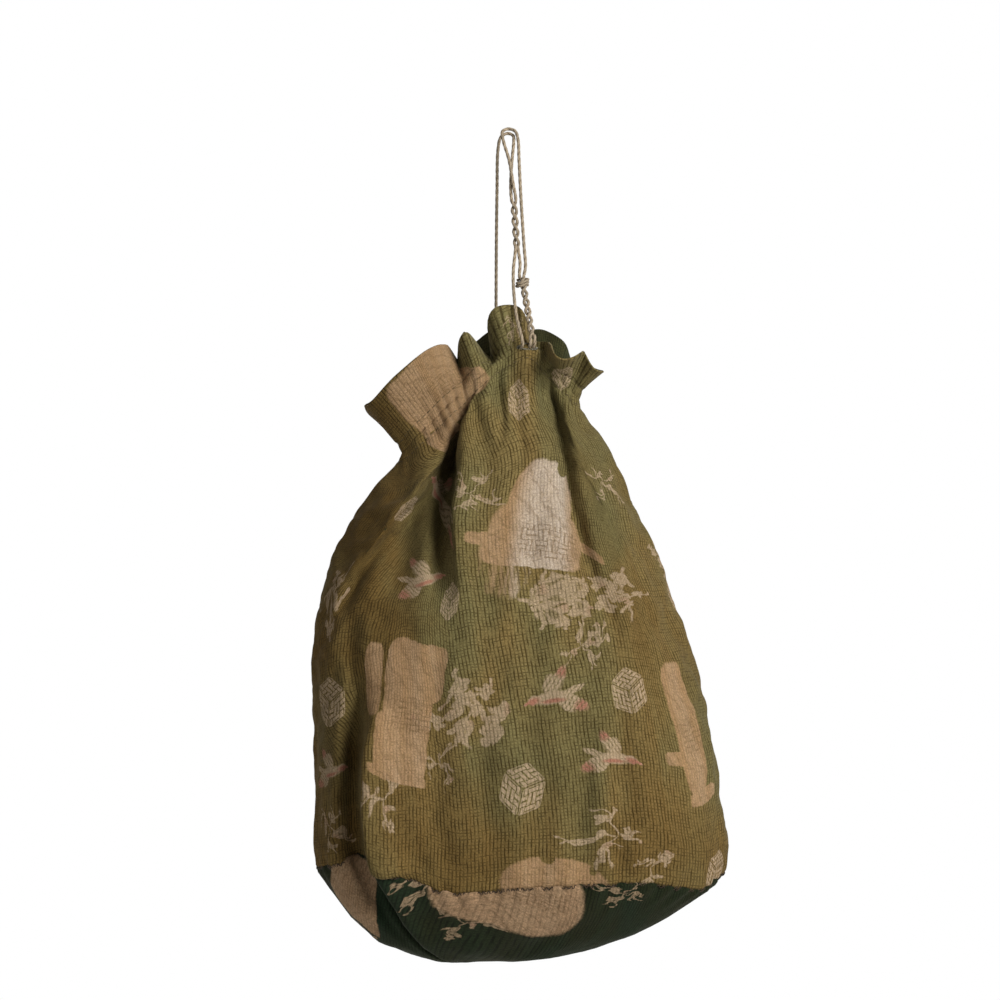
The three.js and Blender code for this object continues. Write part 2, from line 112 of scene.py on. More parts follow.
# Seeded wrinkle noise at every point of an array, in the given cell size.
def ripple(points, cell, seed):
    flat = points.reshape(-1, 3) / cell + seed
    values = [noise.noise(Vector(place)) for place in flat.tolist()]
    return np.array(values).reshape(points.shape[:-1])  # -1 to 1


# A grid from the bmesh operator, bent to the places given for its rows and columns.
# A rolled grid has its first and last columns merged, and its ends filled when asked.
def bentGrid(name, places, rolled=False, filled=False, marks=None):
    rows, columns = places.shape[0] - 1, places.shape[1] - 1
    grid = bmesh.new()
    bmesh.ops.create_grid(grid, x_segments=columns, y_segments=rows, size=0.5)
    mesh = bpy.data.meshes.new(name)
    grid.to_mesh(mesh)
    grid.free()
    corners = np.empty(len(mesh.vertices) * 3)
    mesh.vertices.foreach_get("co", corners)
    corners = corners.reshape(-1, 3)
    column = np.rint((corners[:, 0] + 0.5) * columns).astype(int)
    row = np.rint((0.5 - corners[:, 1]) * rows).astype(int)
    mesh.vertices.foreach_set("co", places[row, column].ravel())
    loops = np.empty(len(mesh.loops), int)
    mesh.loops.foreach_get("vertex_index", loops)
    if marks:
        marks(mesh, row[loops].reshape(-1, 4), column[loops].reshape(-1, 4))
    body = bmesh.new()
    body.from_mesh(mesh)
    if rolled:
        bmesh.ops.remove_doubles(body, verts=body.verts, dist=1e-6)
    if filled:
        bmesh.ops.holes_fill(body, edges=[edge for edge in body.edges if edge.is_boundary], sides=0)
    for face in body.faces:
        face.smooth = True
    body.to_mesh(mesh)
    body.free()
    return added(name, mesh)


# Points of a smooth line through a route, a step apart.
def smoothRoute(route, step):
    route = np.array(route, float)
    padded = np.vstack([2 * route[0] - route[1], route, 2 * route[-1] - route[-2]])
    line = []
    for i in range(1, len(padded) - 2):
        p = padded[i - 1:i + 3]
        gaps = np.sqrt(np.linalg.norm(np.diff(p, axis=0), axis=1)) + 1e-9
        for t in np.linspace(0, 1, 9)[:-1]:
            inward = (p[1] - p[0]) / gaps[0] - (p[2] - p[0]) / (gaps[0] + gaps[1]) + (p[2] - p[1]) / gaps[1]
            outward = (p[2] - p[1]) / gaps[1] - (p[3] - p[1]) / (gaps[1] + gaps[2]) + (p[3] - p[2]) / gaps[2]
            inward, outward = inward * gaps[1], outward * gaps[1]
            a = 2 * p[1] - 2 * p[2] + inward + outward
            b = -3 * p[1] + 3 * p[2] - 2 * inward - outward
            line.append(a * t ** 3 + b * t ** 2 + inward * t + p[1])
    line.append(route[-1])
    line = np.array(line)
    along = distances(line)
    stops = np.linspace(0, along[-1], max(3, round(along[-1] / step)) + 1)
    return np.stack([np.interp(stops, along, line[:, k]) for k in range(3)], axis=1)


# A twisted cord round a line: plies swell and fall as they turn, fibre comes with the material.
def twistedCord(name, route, thick, plies=2, lay=0.0085, depth=0.22, step=0.0005, sides=14):
    line = smoothRoute(route, step)
    runs = unit(np.gradient(line, axis=0))
    aside = unit(np.cross(runs[0], (0.31, 0.9, 0.2)))
    asides = []
    for run in runs:
        aside = unit(aside - run * np.dot(aside, run))
        asides.append(aside)
    asides = np.array(asides)
    ups = np.cross(runs, asides)
    along = distances(line)
    turns = np.linspace(0, 2 * np.pi, sides + 1)
    twist = 2 * np.pi * along / lay
    ply = np.abs(np.cos((turns[None, :] - twist[:, None]) * plies / 2))
    radius = thick / 2 * (1 - depth + depth * 1.08 * ply ** 0.7)
    places = (
        line[:, None]
        + asides[:, None] * (radius * np.cos(turns))[..., None]
        + ups[:, None] * (radius * np.sin(turns))[..., None]
    )

    def marks(mesh, row, column):
        wound = mesh.uv_layers.new(name="fibre")
        across = column / sides * np.pi * thick
        wound.data.foreach_set("uv", np.stack([across, along[row]], axis=-1).ravel())
        fall = mesh.attributes.new("ply", "FLOAT", "CORNER")
        fall.data.foreach_set("value", ply[row, column].ravel())

    return bentGrid(name, places, rolled=True, filled=True, marks=marks), line


# cords, made first: routes in metres, the same as the solids'
cords = {
    "thick": 0.002,
    "twist": 0.013,
    "gap": 0.00126,
    "knotThick": 0.0016,
    "frontExit": (0.01185, -0.01757, -0.13045),
    "backExit": (-0.00767, 0.01661, -0.13882),
    "pairTop": (0.0081, -0.0128, -0.088),
    "pairFoot": (0.0145, -0.0203, -0.1245),
    "knotAt": (0.0084, -0.0132, -0.092),
}


# Two strands laid round each other.
def laid(start, end, turns, turn, wide):
    steps = max(4, round(turns * 7))
    strands = [[], []]
    for i in range(steps + 1):
        middle = np.array(start) + (np.array(end) - np.array(start)) * i / steps
        for side in (0, 1):
            a = turn + i / steps * turns * 2 * math.pi + side * math.pi
            strands[side].append((middle[0] + wide * math.cos(a), middle[1] + wide * math.sin(a), middle[2]))
    return strands


upperLay = laid((0.0034, -0.0082, -0.042), (0.0052, -0.0104, -0.07), 28 / 13, math.pi, cords["gap"])
lowerTurns = round((cords["pairTop"][2] - cords["pairFoot"][2]) / cords["twist"]) + 0.5
lowerLay = laid(cords["pairFoot"], cords["pairTop"], lowerTurns, 0, cords["gap"])
firstRoute = [
    (-0.0078, 0.0158, -0.1392),
    (-0.0072, 0.01985, -0.13746),
    (-0.0074, 0.0214, -0.125),
    (-0.0072, 0.0184, -0.106),
    (-0.007, 0.011, -0.07),
    (-0.0066, 0.0056, -0.036),
    (-0.0059, 0.0024, -0.01),
    (-0.0042, 0.0023, -0.0034),
    (-0.0004, 0.0031, -0.0012),
    (0.003, 0.0016, -0.0026),
    (0.0034, -0.0026, -0.007),
    (0.0024, -0.0044, -0.018),
    (0.0016, -0.0066, -0.033),
    *upperLay[0],
    (0.0032, -0.0146, -0.084),
    (0.0032, -0.0166, -0.094),
    (0.005, -0.0183, -0.112),
    (0.00869, -0.02114, -0.12811),
    (0.0079, -0.0177, -0.1307),
]
secondRoute = [
    (0.0149, -0.0160, -0.1307),
    (0.01575, -0.01953, -0.12829),
    *lowerLay[0],
    (0.0072, -0.012, -0.08),
    *upperLay[1][::-1],
    (0.003, -0.0088, -0.032),
    (0.0006, -0.0074, -0.018),
    (-0.0026, -0.0044, -0.007),
    (-0.0034, -0.0004, -0.0006),
    (0, 0.0029, 0.0015),
    (0.0042, 0.0006, 0),
    (0.006, -0.003, -0.0055),
    (0.0066, -0.0054, -0.018),
    (0.0078, -0.0076, -0.042),
    (0.0096, -0.0098, -0.07),
    (0.0104, -0.0118, -0.082),
    *lowerLay[1][::-1],
    (0.0133, -0.02012, -0.12829),
    (0.0125, -0.0166, -0.1307),
]
firstCord, firstLine = twistedCord("longDrawstring", firstRoute, cords["thick"])
secondCord, secondLine = twistedCord("knottedDrawstring", secondRoute, cords["thick"])

knotRoute = []
for i in range(30):
    turn = i / 29 * 2 * math.pi * 2.4
    swell = cords["gap"] + cords["thick"] / 2 + 0.0006 + cords["knotThick"] / 2
    swell *= 0.9 + 0.12 * math.sin(3.1 * turn)
    tilt = 0.0011 * math.sin(turn + 0.8)
    knotRoute.append((
        cords["knotAt"][0] + swell * math.cos(turn),
        cords["knotAt"][1] + swell * math.sin(turn),
        cords["knotAt"][2] + (i / 29 - 0.5) * 2.4 * 0.0017 + tilt,
    ))
knot = twistedCord("cordKnot", knotRoute, cords["knotThick"], step=0.0004, sides=12)[0]
print("cords laid", round(len(firstLine) * 0.0005, 3), round(len(secondLine) * 0.0005, 3))

# shape of the pouch, in millimetres until it is meshed
pouch = {
    "mouthLeft": -62, "mouthRight": 41, "mouthHalfDepth": 16,
    "frillWidth": 36, "gatherDepth": 2.2,
    "columns": 252, "frillRows": 34, "bodyRows": 154, "baseRows": 30,
    "closingAngle": 100.3,
}
outline = [
    [-125, -62, 41, 15], [-161, -60, 41, 23], [-193, -62, 61, 33], [-221, -85, 74, 42], [-257, -106, 91, 51],
    [-302, -116, 107, 59], [-347, -117, 119, 64], [-401, -115, 128, 66], [-432, -115, 130, 65],
    [-456, -112, 127, 61],
]
seamLine = [
    [-180, -447], [-135, -449], [-90, -442], [-62, -438], [-42, -433], [-28, -444], [-18, -452],
    [0, -449], [32, -447], [58, -452], [90, -443], [130, -448], [180, -447],
]
mouthLine = [
    [-180, -139], [-158, -149], [-134, -172], [-113, -187], [-90, -193], [-66, -188], [-43, -175],
    [-25, -162],
    [-5, -147], [13, -135], [27, -131], [43, -143], [63, -154], [90, -161], [118, -157], [145, -146],
    [165, -139], [180, -139],
]
baseMiddle = (-20, -6, -497)
# angle, way the frill runs from the casing to the hem, wave of the hem
frillLine = [
    [-180, 0, 0.05, 0.55, -3], [-171, -0.08, 0.3, 0.45, 0], [-158, -0.15, 0.75, 0.4, 6],
    [-135, -0.3, 0.8, 0.3, -6], [-113, -0.5, 0.5, 0.5, 5], [-90, -0.62, 0.05, 0.8, 0],
    [-66, -0.62, -0.16, 0.77, 2], [-43, -0.56, -0.28, 0.84, 4], [-29, -0.36, -0.3, 0.93, 2],
    [-22, -0.2, -0.12, 0.86, -1], [-16, -0.16, 0.3, 0.5, -3], [-6, -0.3, -0.2, 0.76, 5],
    [3, -0.12, 0.62, 0.22, -5],
    [12, -0.28, 0.08, 0.72, 5], [21, -0.06, 0.24, 0.66, 3], [29, 0, 0.46, 0.26, -4],
    [36, 0.08, 0.1, 0.3, -4], [45, 0.14, -0.62, 0.4, 6], [54, 0.2, -0.62, 0.46, 6],
    [64, 0.25, -0.4, 0.5, -8], [76, 0.3, -0.24, 0.52, 6], [90, 0.32, 0.1, 0.54, 2],
    [104, 0.3, 0.45, 0.5, -7], [118, 0.22, 0.65, 0.5, 6], [132, 0.15, 0.5, 0.68, -5],
    [146, 0.1, 0.42, 0.85, 5], [158, 0.05, 0.5, 0.72, 4], [169, 0.05, 0.1, 0.6, 0],
    [180, 0, 0.05, 0.55, -3],
]
# folds: line down the cloth (height, place across), width, how far out, how far it leans, fade in and out
frontFolds = {
    "shoulder": [[(-152, -26), (-165, -35), (-178, -46), (-209, -67), (-229, -84), (-254, -103),
        (-285, -119)],
                 12, 15, 12, (-146, -170, -232, -285)],
    "hollowNear": [[(-150, -19), (-178, -28), (-197, -32), (-209, -34), (-229, -37), (-254, -40),
        (-300, -44)],
                   7, -24, 0, (-146, -166, -228, -300)],
    "hollowWide": [[(-165, -26), (-178, -31), (-206, -42), (-221, -49), (-245, -60), (-270, -66),
        (-300, -70)],
                   13, -17, 0, (-160, -195, -235, -310)],
    "panelEdge": [[(-150, -12), (-178, -17), (-203, -20), (-233, -22), (-293, -24)],
                  7, 6, -10, (-140, -165, -225, -310)],
    "low": [[(-330, -69), (-380, -71), (-420, -70), (-440, -64)], 9, 10, -12, (-325, -375, -436, -450)],
    "lowHollow": [[(-330, -87), (-380, -89), (-425, -89), (-445, -82)], 8, -20, 0, (-308, -378, -440, -470)],
    "rightHollow": [[(-146, 24.5), (-179, 29.5), (-203, 34), (-233, 40), (-281, 54), (-341, 80), (-431, 92)],
                    5.5, -12, 0, (-138, -155, -218, -320)],
    "rightRoll": [[(-146, 34), (-179, 44), (-203, 53), (-239, 74), (-305, 99), (-365, 108)],
                  7, 6, -5, (-142, -165, -260, -380)],
    "rightFlat": [[(-190, 60), (-239, 84), (-305, 104), (-365, 116)], 7, -5, 0, (-180, -215, -300, -370)],
    "pleatA": [[(-126, -8), (-145, -5.5), (-165, -4), (-200, -3)], 2.6, -6.5, 0, (-131, -140, -150, -190)],
    "pleatB": [[(-130, -18), (-150, -14.5), (-175, -12), (-210, -11)], 2.6, -5, 0, (-134, -146, -165, -215)],
    "pleatC": [[(-128, 15), (-150, 18), (-175, 21), (-220, 27)], 2.8, -3.6, 0, (-131, -140, -160, -230)],
    "pleatD": [[(-131, 3), (-150, 4.5), (-180, 7), (-210, 9)], 3.4, -2.4, 0, (-131, -142, -160, -215)],
    "softA": [[(-230, 12), (-320, 16), (-445, 20)], 9, -1.8, 0, (-200, -260, -430, -460)],
    "softB": [[(-300, 60), (-380, 66), (-445, 66)], 7, -2.4, 0, (-290, -350, -430, -460)],
    "softC": [[(-300, -44), (-380, -40), (-445, -36)], 8, -2.2, 0, (-280, -350, -430, -460)],
    "foldD": [[(-250, -88), (-300, -92), (-360, -84)], 6, -4, 0, (-245, -275, -320, -365)],
    "foldE": [[(-235, -72), (-262, -84), (-300, -104)], 5, -3.5, 0, (-235, -255, -280, -310)],
    "corner": [[(-410, -80), (-428, -78.5), (-446, -76)], 3.4, -9, 3, (-412, -422, -434, -445)],
    "midHollow": [[(-330, 38), (-400, 43), (-450, 44)], 9, -2.5, 0, (-320, -400, -445, -470)],
    "leftCrease": [[(-300, -18), (-380, -12), (-450, -8)], 9, -2, 0, (-290, -360, -440, -470)],
}
backFolds = {
    "middle": [[(-150, 6), (-230, -12), (-330, -30)], 10, -6, 0, (-140, -175, -240, -330)],
    "left": [[(-150, -14), (-220, -44), (-330, -76)], 11, 5, -3, (-140, -180, -250, -340)],
    "right": [[(-150, 22), (-230, 36), (-340, 58)], 10, 5, 3, (-140, -180, -250, -360)],
    "outer": [[(-200, 50), (-300, 78), (-420, 90)], 11, -6, 0, (-180, -240, -330, -430)],
    "foot": [[(-330, -40), (-400, -48), (-450, -50)], 12, -5, 0, (-310, -380, -440, -470)],
}


def wrapped(angles):
    return (angles + 180) % 360 - 180


def casingPlace(angles):
    turn = np.radians(angles)
    left, right = pouch["mouthLeft"], pouch["mouthRight"]
    return np.stack([
        (left + right) / 2 + (right - left) / 2 * np.sin(turn),
        -pouch["mouthHalfDepth"] * np.cos(turn),
        readTable(mouthLine, wrapped(angles), 1),
    ], axis=-1)


def casingOut(angles):
    run = casingPlace(angles + 0.5) - casingPlace(angles - 0.5)
    return unit(np.stack([run[..., 1], -run[..., 0], 0 * run[..., 0]], axis=-1))


def gather(angles):
    turn = np.radians(angles)
    wave = 0.6 * np.cos(13 * turn + 0.7) + 0.4 * np.cos(9 * turn + 2)
    return pouch["gatherDepth"] * wave * np.abs(np.cos(turn))


# The frill, from the casing at 0 to the hem at 1.
def frillPlace(angles, shares):
    near = wrapped(angles)
    up = np.stack([readTable(frillLine, near, k) for k in (1, 2, 3)], axis=-1)
    wave = readTable(frillLine, near, 4)
    run = casingPlace(angles + 0.5) - casingPlace(angles - 0.5)
    out = unit(np.cross(run, up))
    shares = shares[..., None]
    return (
        casingPlace(angles)
        + up * pouch["frillWidth"] * shares
        + out * (wave[..., None] * shares ** 1.4 + 2 * shares ** 2)
        + casingOut(angles) * gather(angles)[..., None] * (1 - shares)
    )


def addFold(moved, fold, x, z, side, weight):
    line, wide, out, lean, fade = fold
    middle = readTable(line, z, 1)
    slope = (readTable(line, z - 2, 1) - readTable(line, z + 2, 1)) / 4
    level = 1 / np.hypot(1, slope)
    across = (x - middle) * level / wide
    strong = smooth(-fade[0], -fade[1], -z) * (1 - smooth(-fade[2], -fade[3], -z)) * weight
    bump = np.exp(-across * across) * strong
    moved[..., 0] += lean * bump * level
    moved[..., 2] += lean * bump * level * slope
    moved[..., 1] += side * out * bump


# The bag below the casing, from the casing at 0 to the base seam at 1.
def bagPlace(angles, shares, without=()):
    top = casingPlace(angles)
    turn = np.radians(angles)
    sine, cosine = np.sin(turn), np.cos(turn)
    low = readTable(seamLine, wrapped(angles), 1)
    z = top[..., 2] + (low - top[..., 2]) * shares
    square = 0.16 * smooth(0, 0.8, shares)

    def place(height):
        left, right, deep = (readTable(outline, height, k) for k in (1, 2, 3))
        return (
            (left + right) / 2 + (right - left) / 2 * sine * (1 + square * cosine ** 2),
            -deep * cosine * (1 + square * sine ** 2),
        )

    flat, start = place(z), place(top[..., 2])
    held = (1 - shares) ** 5
    x = flat[0] + (top[..., 0] - start[0]) * held
    y = flat[1] + (top[..., 1] - start[1]) * held
    moved = np.stack([x, y, z], axis=-1)
    free = smooth(0, 0.07, shares)
    front = smooth(0.02, 0.3, cosine) * free
    back = smooth(0.02, 0.3, -cosine) * free
    for name, fold in frontFolds.items():
        if name not in without:
            addFold(moved, fold, x, z, -1, front)
    for fold in backFolds.values():
        addFold(moved, fold, x, z, 1, back)
    return moved + casingOut(angles) * (gather(angles) * np.exp(-shares / 0.13))[..., None]


# The base, from the seam at 0 to its lowest point at 1. The low fold of the bag dies out in it.
def basePlace(angles, shares):
    rim = bagPlace(angles, np.ones_like(shares))
    plain = bagPlace(angles, np.ones_like(shares), ("low", "lowHollow"))
    turn = np.radians(angles)
    near = 1 - shares
    x = baseMiddle[0] + (plain[..., 0] - baseMiddle[0]) * near + (rim - plain)[..., 0] * near ** 4
    y = baseMiddle[1] + (plain[..., 1] - baseMiddle[1]) * near + (rim - plain)[..., 1] * near ** 4
    z = baseMiddle[2] + (rim[..., 2] - baseMiddle[2]) * near ** (2.7 - 0.3 * np.sin(turn))
    return np.stack([x, y, z], axis=-1)


def gridNormals(places):
    down = np.gradient(places, axis=0)
    aside = np.gradient(places, axis=1)
    aside[:, 0] = aside[:, -1] = places[:, 1] - places[:, -2]
    return unit(np.cross(down, aside))


# Columns stand closer together at the front, and start at the closing seam.
dense = np.linspace(pouch["closingAngle"] - 360, pouch["closingAngle"], 2000)
weight = 1 + 0.55 * bell(wrapped(dense), -30, 45) + 0.35 * bell(wrapped(dense), 35, 25)
spread = np.concatenate([[0], np.cumsum((weight[1:] + weight[:-1]) / 2)])
columnAngles = np.interp(np.linspace(0, spread[-1], pouch["columns"] + 1), spread, dense)
frillShares = np.linspace(1, 0, pouch["frillRows"] + 1)[:-1]
bodyEven = np.linspace(0, 1, pouch["bodyRows"] + 1)
bodyShares = bodyEven ** 1.25
shares, angles = np.meshgrid(np.concatenate([frillShares, bodyShares]), columnAngles, indexing="ij")
casingRow = pouch["frillRows"]
lastRow = len(shares) - 1
cloth = np.vstack([
    frillPlace(angles[:casingRow], shares[:casingRow]),
    bagPlace(angles[casingRow:], shares[casingRow:]),
])


# relief of the bag cloth: channel, gathers, puckers at the seam, slack wrinkles
relief = {"channel": 1.1, "pinch": 0.7, "gathers": 1.9, "gatherPitch": 7.5, "pucker": 0.9, "slack": 1.5}
out = gridNormals(cloth)
alongRows, downColumns = distances(cloth, 1), distances(cloth)
fromCasing = downColumns[casingRow] - downColumns
fromSeam = downColumns[lastRow] - downColumns
turn = np.radians(angles)
height = relief["channel"] * bell(fromCasing, 0, 4.2)
height -= relief["pinch"] * bell(np.abs(fromCasing), 6.6, 1.3)
ringArc = alongRows[casingRow][None, :] + 1.4 * np.sin(alongRows[casingRow] / 17)[None, :]
phase = 2 * np.pi * ringArc / relief["gatherPitch"] + 1.6 * np.sin(ringArc / 9.5)
pleat = 0.55 - np.abs(np.cos(phase / 2)) ** 0.8
pleat = -pleat * (0.55 + 0.45 * np.sin(ringArc / 14 + 1)) * (1 - 0.7 * bell(wrapped(angles), -75, 40))
pleat *= 1 + 0.8 * smooth(0, 0.8, -np.cos(turn))
reachDown = np.exp(-np.abs(fromCasing / 15) ** 1.5)
reachUp = np.exp(-np.abs(fromCasing / 26) ** 1.2)
reach = np.where(fromCasing > 0, reachDown, reachUp)
height += relief["gathers"] * pleat * reach
pucker = np.sin(2 * np.pi * alongRows[lastRow] / 11 + 2 * np.sin(alongRows[lastRow] / 23))[None, :]
puckered = 0.4 + 0.6 * np.abs(np.sin(alongRows[lastRow] / 37))
height += relief["pucker"] * pucker * np.exp(-fromSeam / 9) * puckered
height -= 0.9 * np.exp(-(fromSeam / 1.6) ** 2)
stretched = cloth * (1, 1, 0.45)
body = smooth(-4, -45, fromCasing)
height += relief["slack"] * ripple(stretched, 13, 3.3) * (0.25 + 0.75 * body)
height += 0.35 * ripple(cloth, 5.5, 9.1) * (0.4 + 0.6 * body)
cloth = cloth + out * height[..., None]
cloth[:, -1] = cloth[:, 0]

# a short cloth simulation of the bag on a coarse copy, held at casing and seam and let out
# a little, so that it buckles; the cloth then moves by at most 1.8 mm
settle = {
    "rows": 3, "columns": 3, "frames": 16, "quality": 6, "mass": 0.001, "gravity": 0.4, "let out": 0.03,
    "stretch": 12, "shear": 3, "bend": 0.02, "edges": (1.0, 0.5, 0.2), "hold": 0.08, "most": 1.8,
}


def settled(places):
    rows = np.unique(np.append(np.arange(0, len(places), settle["rows"]), len(places) - 1))
    columns = np.arange(0, places.shape[1] - 1, settle["columns"])
    coarse = places[np.ix_(rows, columns)]
    count = len(columns)
    quads = []
    for r in range(len(rows) - 1):
        for c in range(count):
            after = (c + 1) % count
            quads.append((r * count + c, r * count + after, (r + 1) * count + after, (r + 1) * count + c))
    mesh = bpy.data.meshes.new("settling")
    mesh.from_pydata((coarse.reshape(-1, 3) / 1000).tolist(), [], quads)
    draft = added("settling", mesh)
    held = draft.vertex_groups.new(name="held")
    for r in range(len(rows)):
        edge = min(r, len(rows) - 1 - r)
        grip = settle["edges"][edge] if edge < len(settle["edges"]) else settle["hold"]
        held.add(list(range(r * count, (r + 1) * count)), grip, "REPLACE")
    soft = draft.modifiers.new("cloth", "CLOTH")
    soft.settings.quality = settle["quality"]
    soft.settings.mass = settle["mass"]
    soft.settings.tension_stiffness = settle["stretch"]
    soft.settings.compression_stiffness = settle["stretch"]
    soft.settings.shear_stiffness = settle["shear"]
    soft.settings.bending_stiffness = settle["bend"]
    soft.settings.shrink_min = -settle["let out"]
    soft.settings.vertex_group_mass = "held"
    soft.settings.effector_weights.gravity = settle["gravity"]
    soft.collision_settings.use_collision = False
    soft.point_cache.frame_start = 1
    soft.point_cache.frame_end = settle["frames"]
    for frameNumber in range(1, settle["frames"] + 1):
        bpy.context.scene.frame_set(frameNumber)
    after = draft.evaluated_get(bpy.context.evaluated_depsgraph_get()).to_mesh()
    found = np.empty(len(after.vertices) * 3)
    after.vertices.foreach_get("co", found)
    bpy.data.objects.remove(draft)
    bpy.context.scene.frame_set(1)
    moved = found.reshape(coarse.shape) * 1000 - coarse
    far = np.linalg.norm(moved, axis=-1, keepdims=True)
    print("settled by", round(float(far.mean()), 2), "mm, at most", round(float(far.max()), 2))
    moved *= settle["most"] * np.tanh(far / settle["most"]) / (far + 1e-9)
    ring = np.append(columns, places.shape[1] - 1)
    moved = np.concatenate([moved, moved[:, :1]], axis=1)
    allRows, allColumns = np.arange(len(places)), np.arange(places.shape[1])
    whole = np.empty(places.shape)
    for k in range(3):
        down = np.stack([np.interp(allRows, rows, moved[:, c, k]) for c in range(len(ring))], axis=1)
        whole[..., k] = np.stack([np.interp(allColumns, ring, down[r]) for r in allRows])
    for _ in range(2):
        inner = np.concatenate([whole[:, -2:-1], whole, whole[:, 1:2]], axis=1)
        whole = (inner[:, :-2] + 2 * inner[:, 1:-1] + inner[:, 2:]) / 4
        whole[1:-1] = (whole[:-2] + 2 * whole[1:-1] + whole[2:]) / 4
    whole[0] = whole[-1] = 0
    return places + whole


cloth[casingRow:] = settled(cloth[casingRow:])
alongRows, downColumns = distances(cloth, 1), distances(cloth)
print("bag cloth shaped", cloth.shape, round(float(alongRows[:, -1].max()), 1))

# Weave coordinates: the cloth keeps its width, so what the folds hide is taken up in the hollows.
share = (
    0.24 * bell(angles, -24, 9) / 9
    + 0.12 * bell(angles, 44, 5) / 5
    + 0.16 * bell(angles, -100, 24) / 24
    + 0.12 * bell(angles, 88, 9) / 9
    + 0.36 * bell(angles, -180, 45) / 45
)
step = np.diff(alongRows, axis=1)
hidden = (share[:, 1:] + share[:, :-1]) * np.diff(angles, axis=1)
hidden /= hidden.sum(axis=1, keepdims=True)
clothWidth = alongRows[casingRow:, -1].max()
spare = clothWidth - alongRows[:, -1:]
spare[:casingRow] = spare[casingRow]
weaveAcross = np.concatenate([np.zeros((len(step), 1)), np.cumsum(step + spare * hidden, axis=1)], axis=1)
weaveAcross[:casingRow] = weaveAcross[casingRow]
middleColumn = int(np.argmin(np.abs(columnAngles - 12)))
weaveAcross -= weaveAcross[:, middleColumn:middleColumn + 1]
clothLength = float(np.percentile((downColumns[lastRow] - downColumns[casingRow]), 80))
weaveDown = downColumns - downColumns[casingRow]
weaveDown[casingRow:] *= clothLength / weaveDown[lastRow]


# print: where each motif sits on the cloth
# kind, place across and down from the hanging point (mm), half width, half height, turn, mirror
smallPrints = [
    ("bird", -52, -270, 19, 16, 8, 1), ("bird", -41, -218, 20, 15, -30, -1),
    ("bird", 29, -338, 20, 17, 20, -1),
    ("bird", 63, -376, 20, 15, -12, 1), ("bird", -107, -384, 17, 14, 0, 1),
    ("cube", -61, -226, 10, 11, -40, 1), ("cube", -107, -343, 15, 16, 0, 1), ("cube", -34, -283, 7, 13, 8, 1),
    ("cube", 72, -336, 12, 15, 14, 1), ("cube", 10, -394, 15, 17, -12, 1), ("cube", 6, -161, 8, 14, 2, 1),
    ("cube", 124, -444, 13, 14, 0, 1), ("cube", 100, -280, 11, 14, 10, 1), ("cube", 33, -147, 7, 13, 0, 1),
]
boards = [
    ("arch", 18, -246, 40, 43, 0, 1), ("screen", -61, -349, 29, 42, -9, 1), ("slab", 108, -362, 22, 44, 8, 1),
    ("foot", 28, -456, 34, 19, 0, 1), ("panel", -40, -153, 32, 27, 40, 1),
    ("panel", -38, -182, 9, 12, -35, 1),
]
sprays = [
    ("clump", 32, -281, 22, 20, 0, 1), ("blossom", 68, -278, 22, 17, 0, 1), ("twig", -18, -215, 17, 14, 0, 1),
    ("twig", 57, -214, 17, 14, 20, -1), ("blossom", -22, -349, 27, 25, 20, 1),
    ("stem", -73, -402, 16, 25, 0, 1),
    ("twig", 60, -424, 26, 20, 0, 1), ("blossom", -104, -278, 13, 25, 0, 1),
    ("twig", 47, -306, 17, 15, 70, 1),
    ("blossom", 96, -250, 12, 16, 0, -1), ("stem", 88, -440, 14, 12, 60, 1),
    ("twig", -104, -420, 15, 14, 0, 1),
    ("twig", 4, -118, 8, 10, 0, 1), ("stem", -40, -380, 12, 16, -30, 1),
]
# the same motifs round the sides and back, by angle and height
backPrints = {
    "small": [
        ("bird", 118, -300, 19, 16, 10, 1), ("cube", 132, -360, 16, 17, 0, 1),
        ("bird", 158, -250, 19, 16, -20, -1),
        ("cube", 178, -318, 16, 18, 6, 1), ("bird", -165, -390, 20, 17, 15, 1),
        ("cube", -140, -300, 16, 17, -8, 1),
        ("bird", -118, -350, 19, 16, 0, -1), ("cube", 150, -425, 15, 16, 0, 1),
        ("cube", -128, -425, 15, 16, 4, 1),
        ("bird", -150, -232, 18, 15, 30, 1), ("cube", 174, -205, 13, 15, 0, 1),
    ],
    "boards": [
        ("arch", 160, -352, 40, 43, 0, 1), ("screen", -152, -345, 30, 42, -8, 1),
        ("slab", -118, -250, 22, 40, 14, 1),
        ("arch", -176, -230, 34, 34, 0, 1), ("foot", -160, -457, 44, 20, 0, 1),
        ("slab", 122, -230, 20, 36, -10, 1),
    ],
    "sprays": [
        ("blossom", 140, -310, 20, 20, 0, 1), ("twig", 172, -400, 20, 18, 0, 1),
        ("blossom", -170, -300, 22, 20, 0, 1),
        ("stem", -135, -390, 16, 22, 0, 1), ("twig", 112, -420, 18, 16, 0, 1),
        ("blossom", -132, -270, 18, 16, 0, 1),
        ("twig", 128, -262, 16, 14, 0, 1),
    ],
}
motifKinds = {
    "bird": 1, "cube": 2, "arch": 1, "screen": 2, "slab": 3, "foot": 4, "panel": 5,
    "blossom": 1, "twig": 2, "stem": 3, "clump": 4,
}


# Places as the camera sees them on the plane of the cords.
def seen(places):
    away = shot["away"] * 1000
    scale = away / (away + places[..., 1])
    centre = np.array([shot["x"], shot["z"]]) * 1000
    return np.stack([
        centre[0] + (places[..., 0] - centre[0]) * scale,
        centre[1] + (places[..., 2] - centre[1]) * scale,
    ], axis=-1)


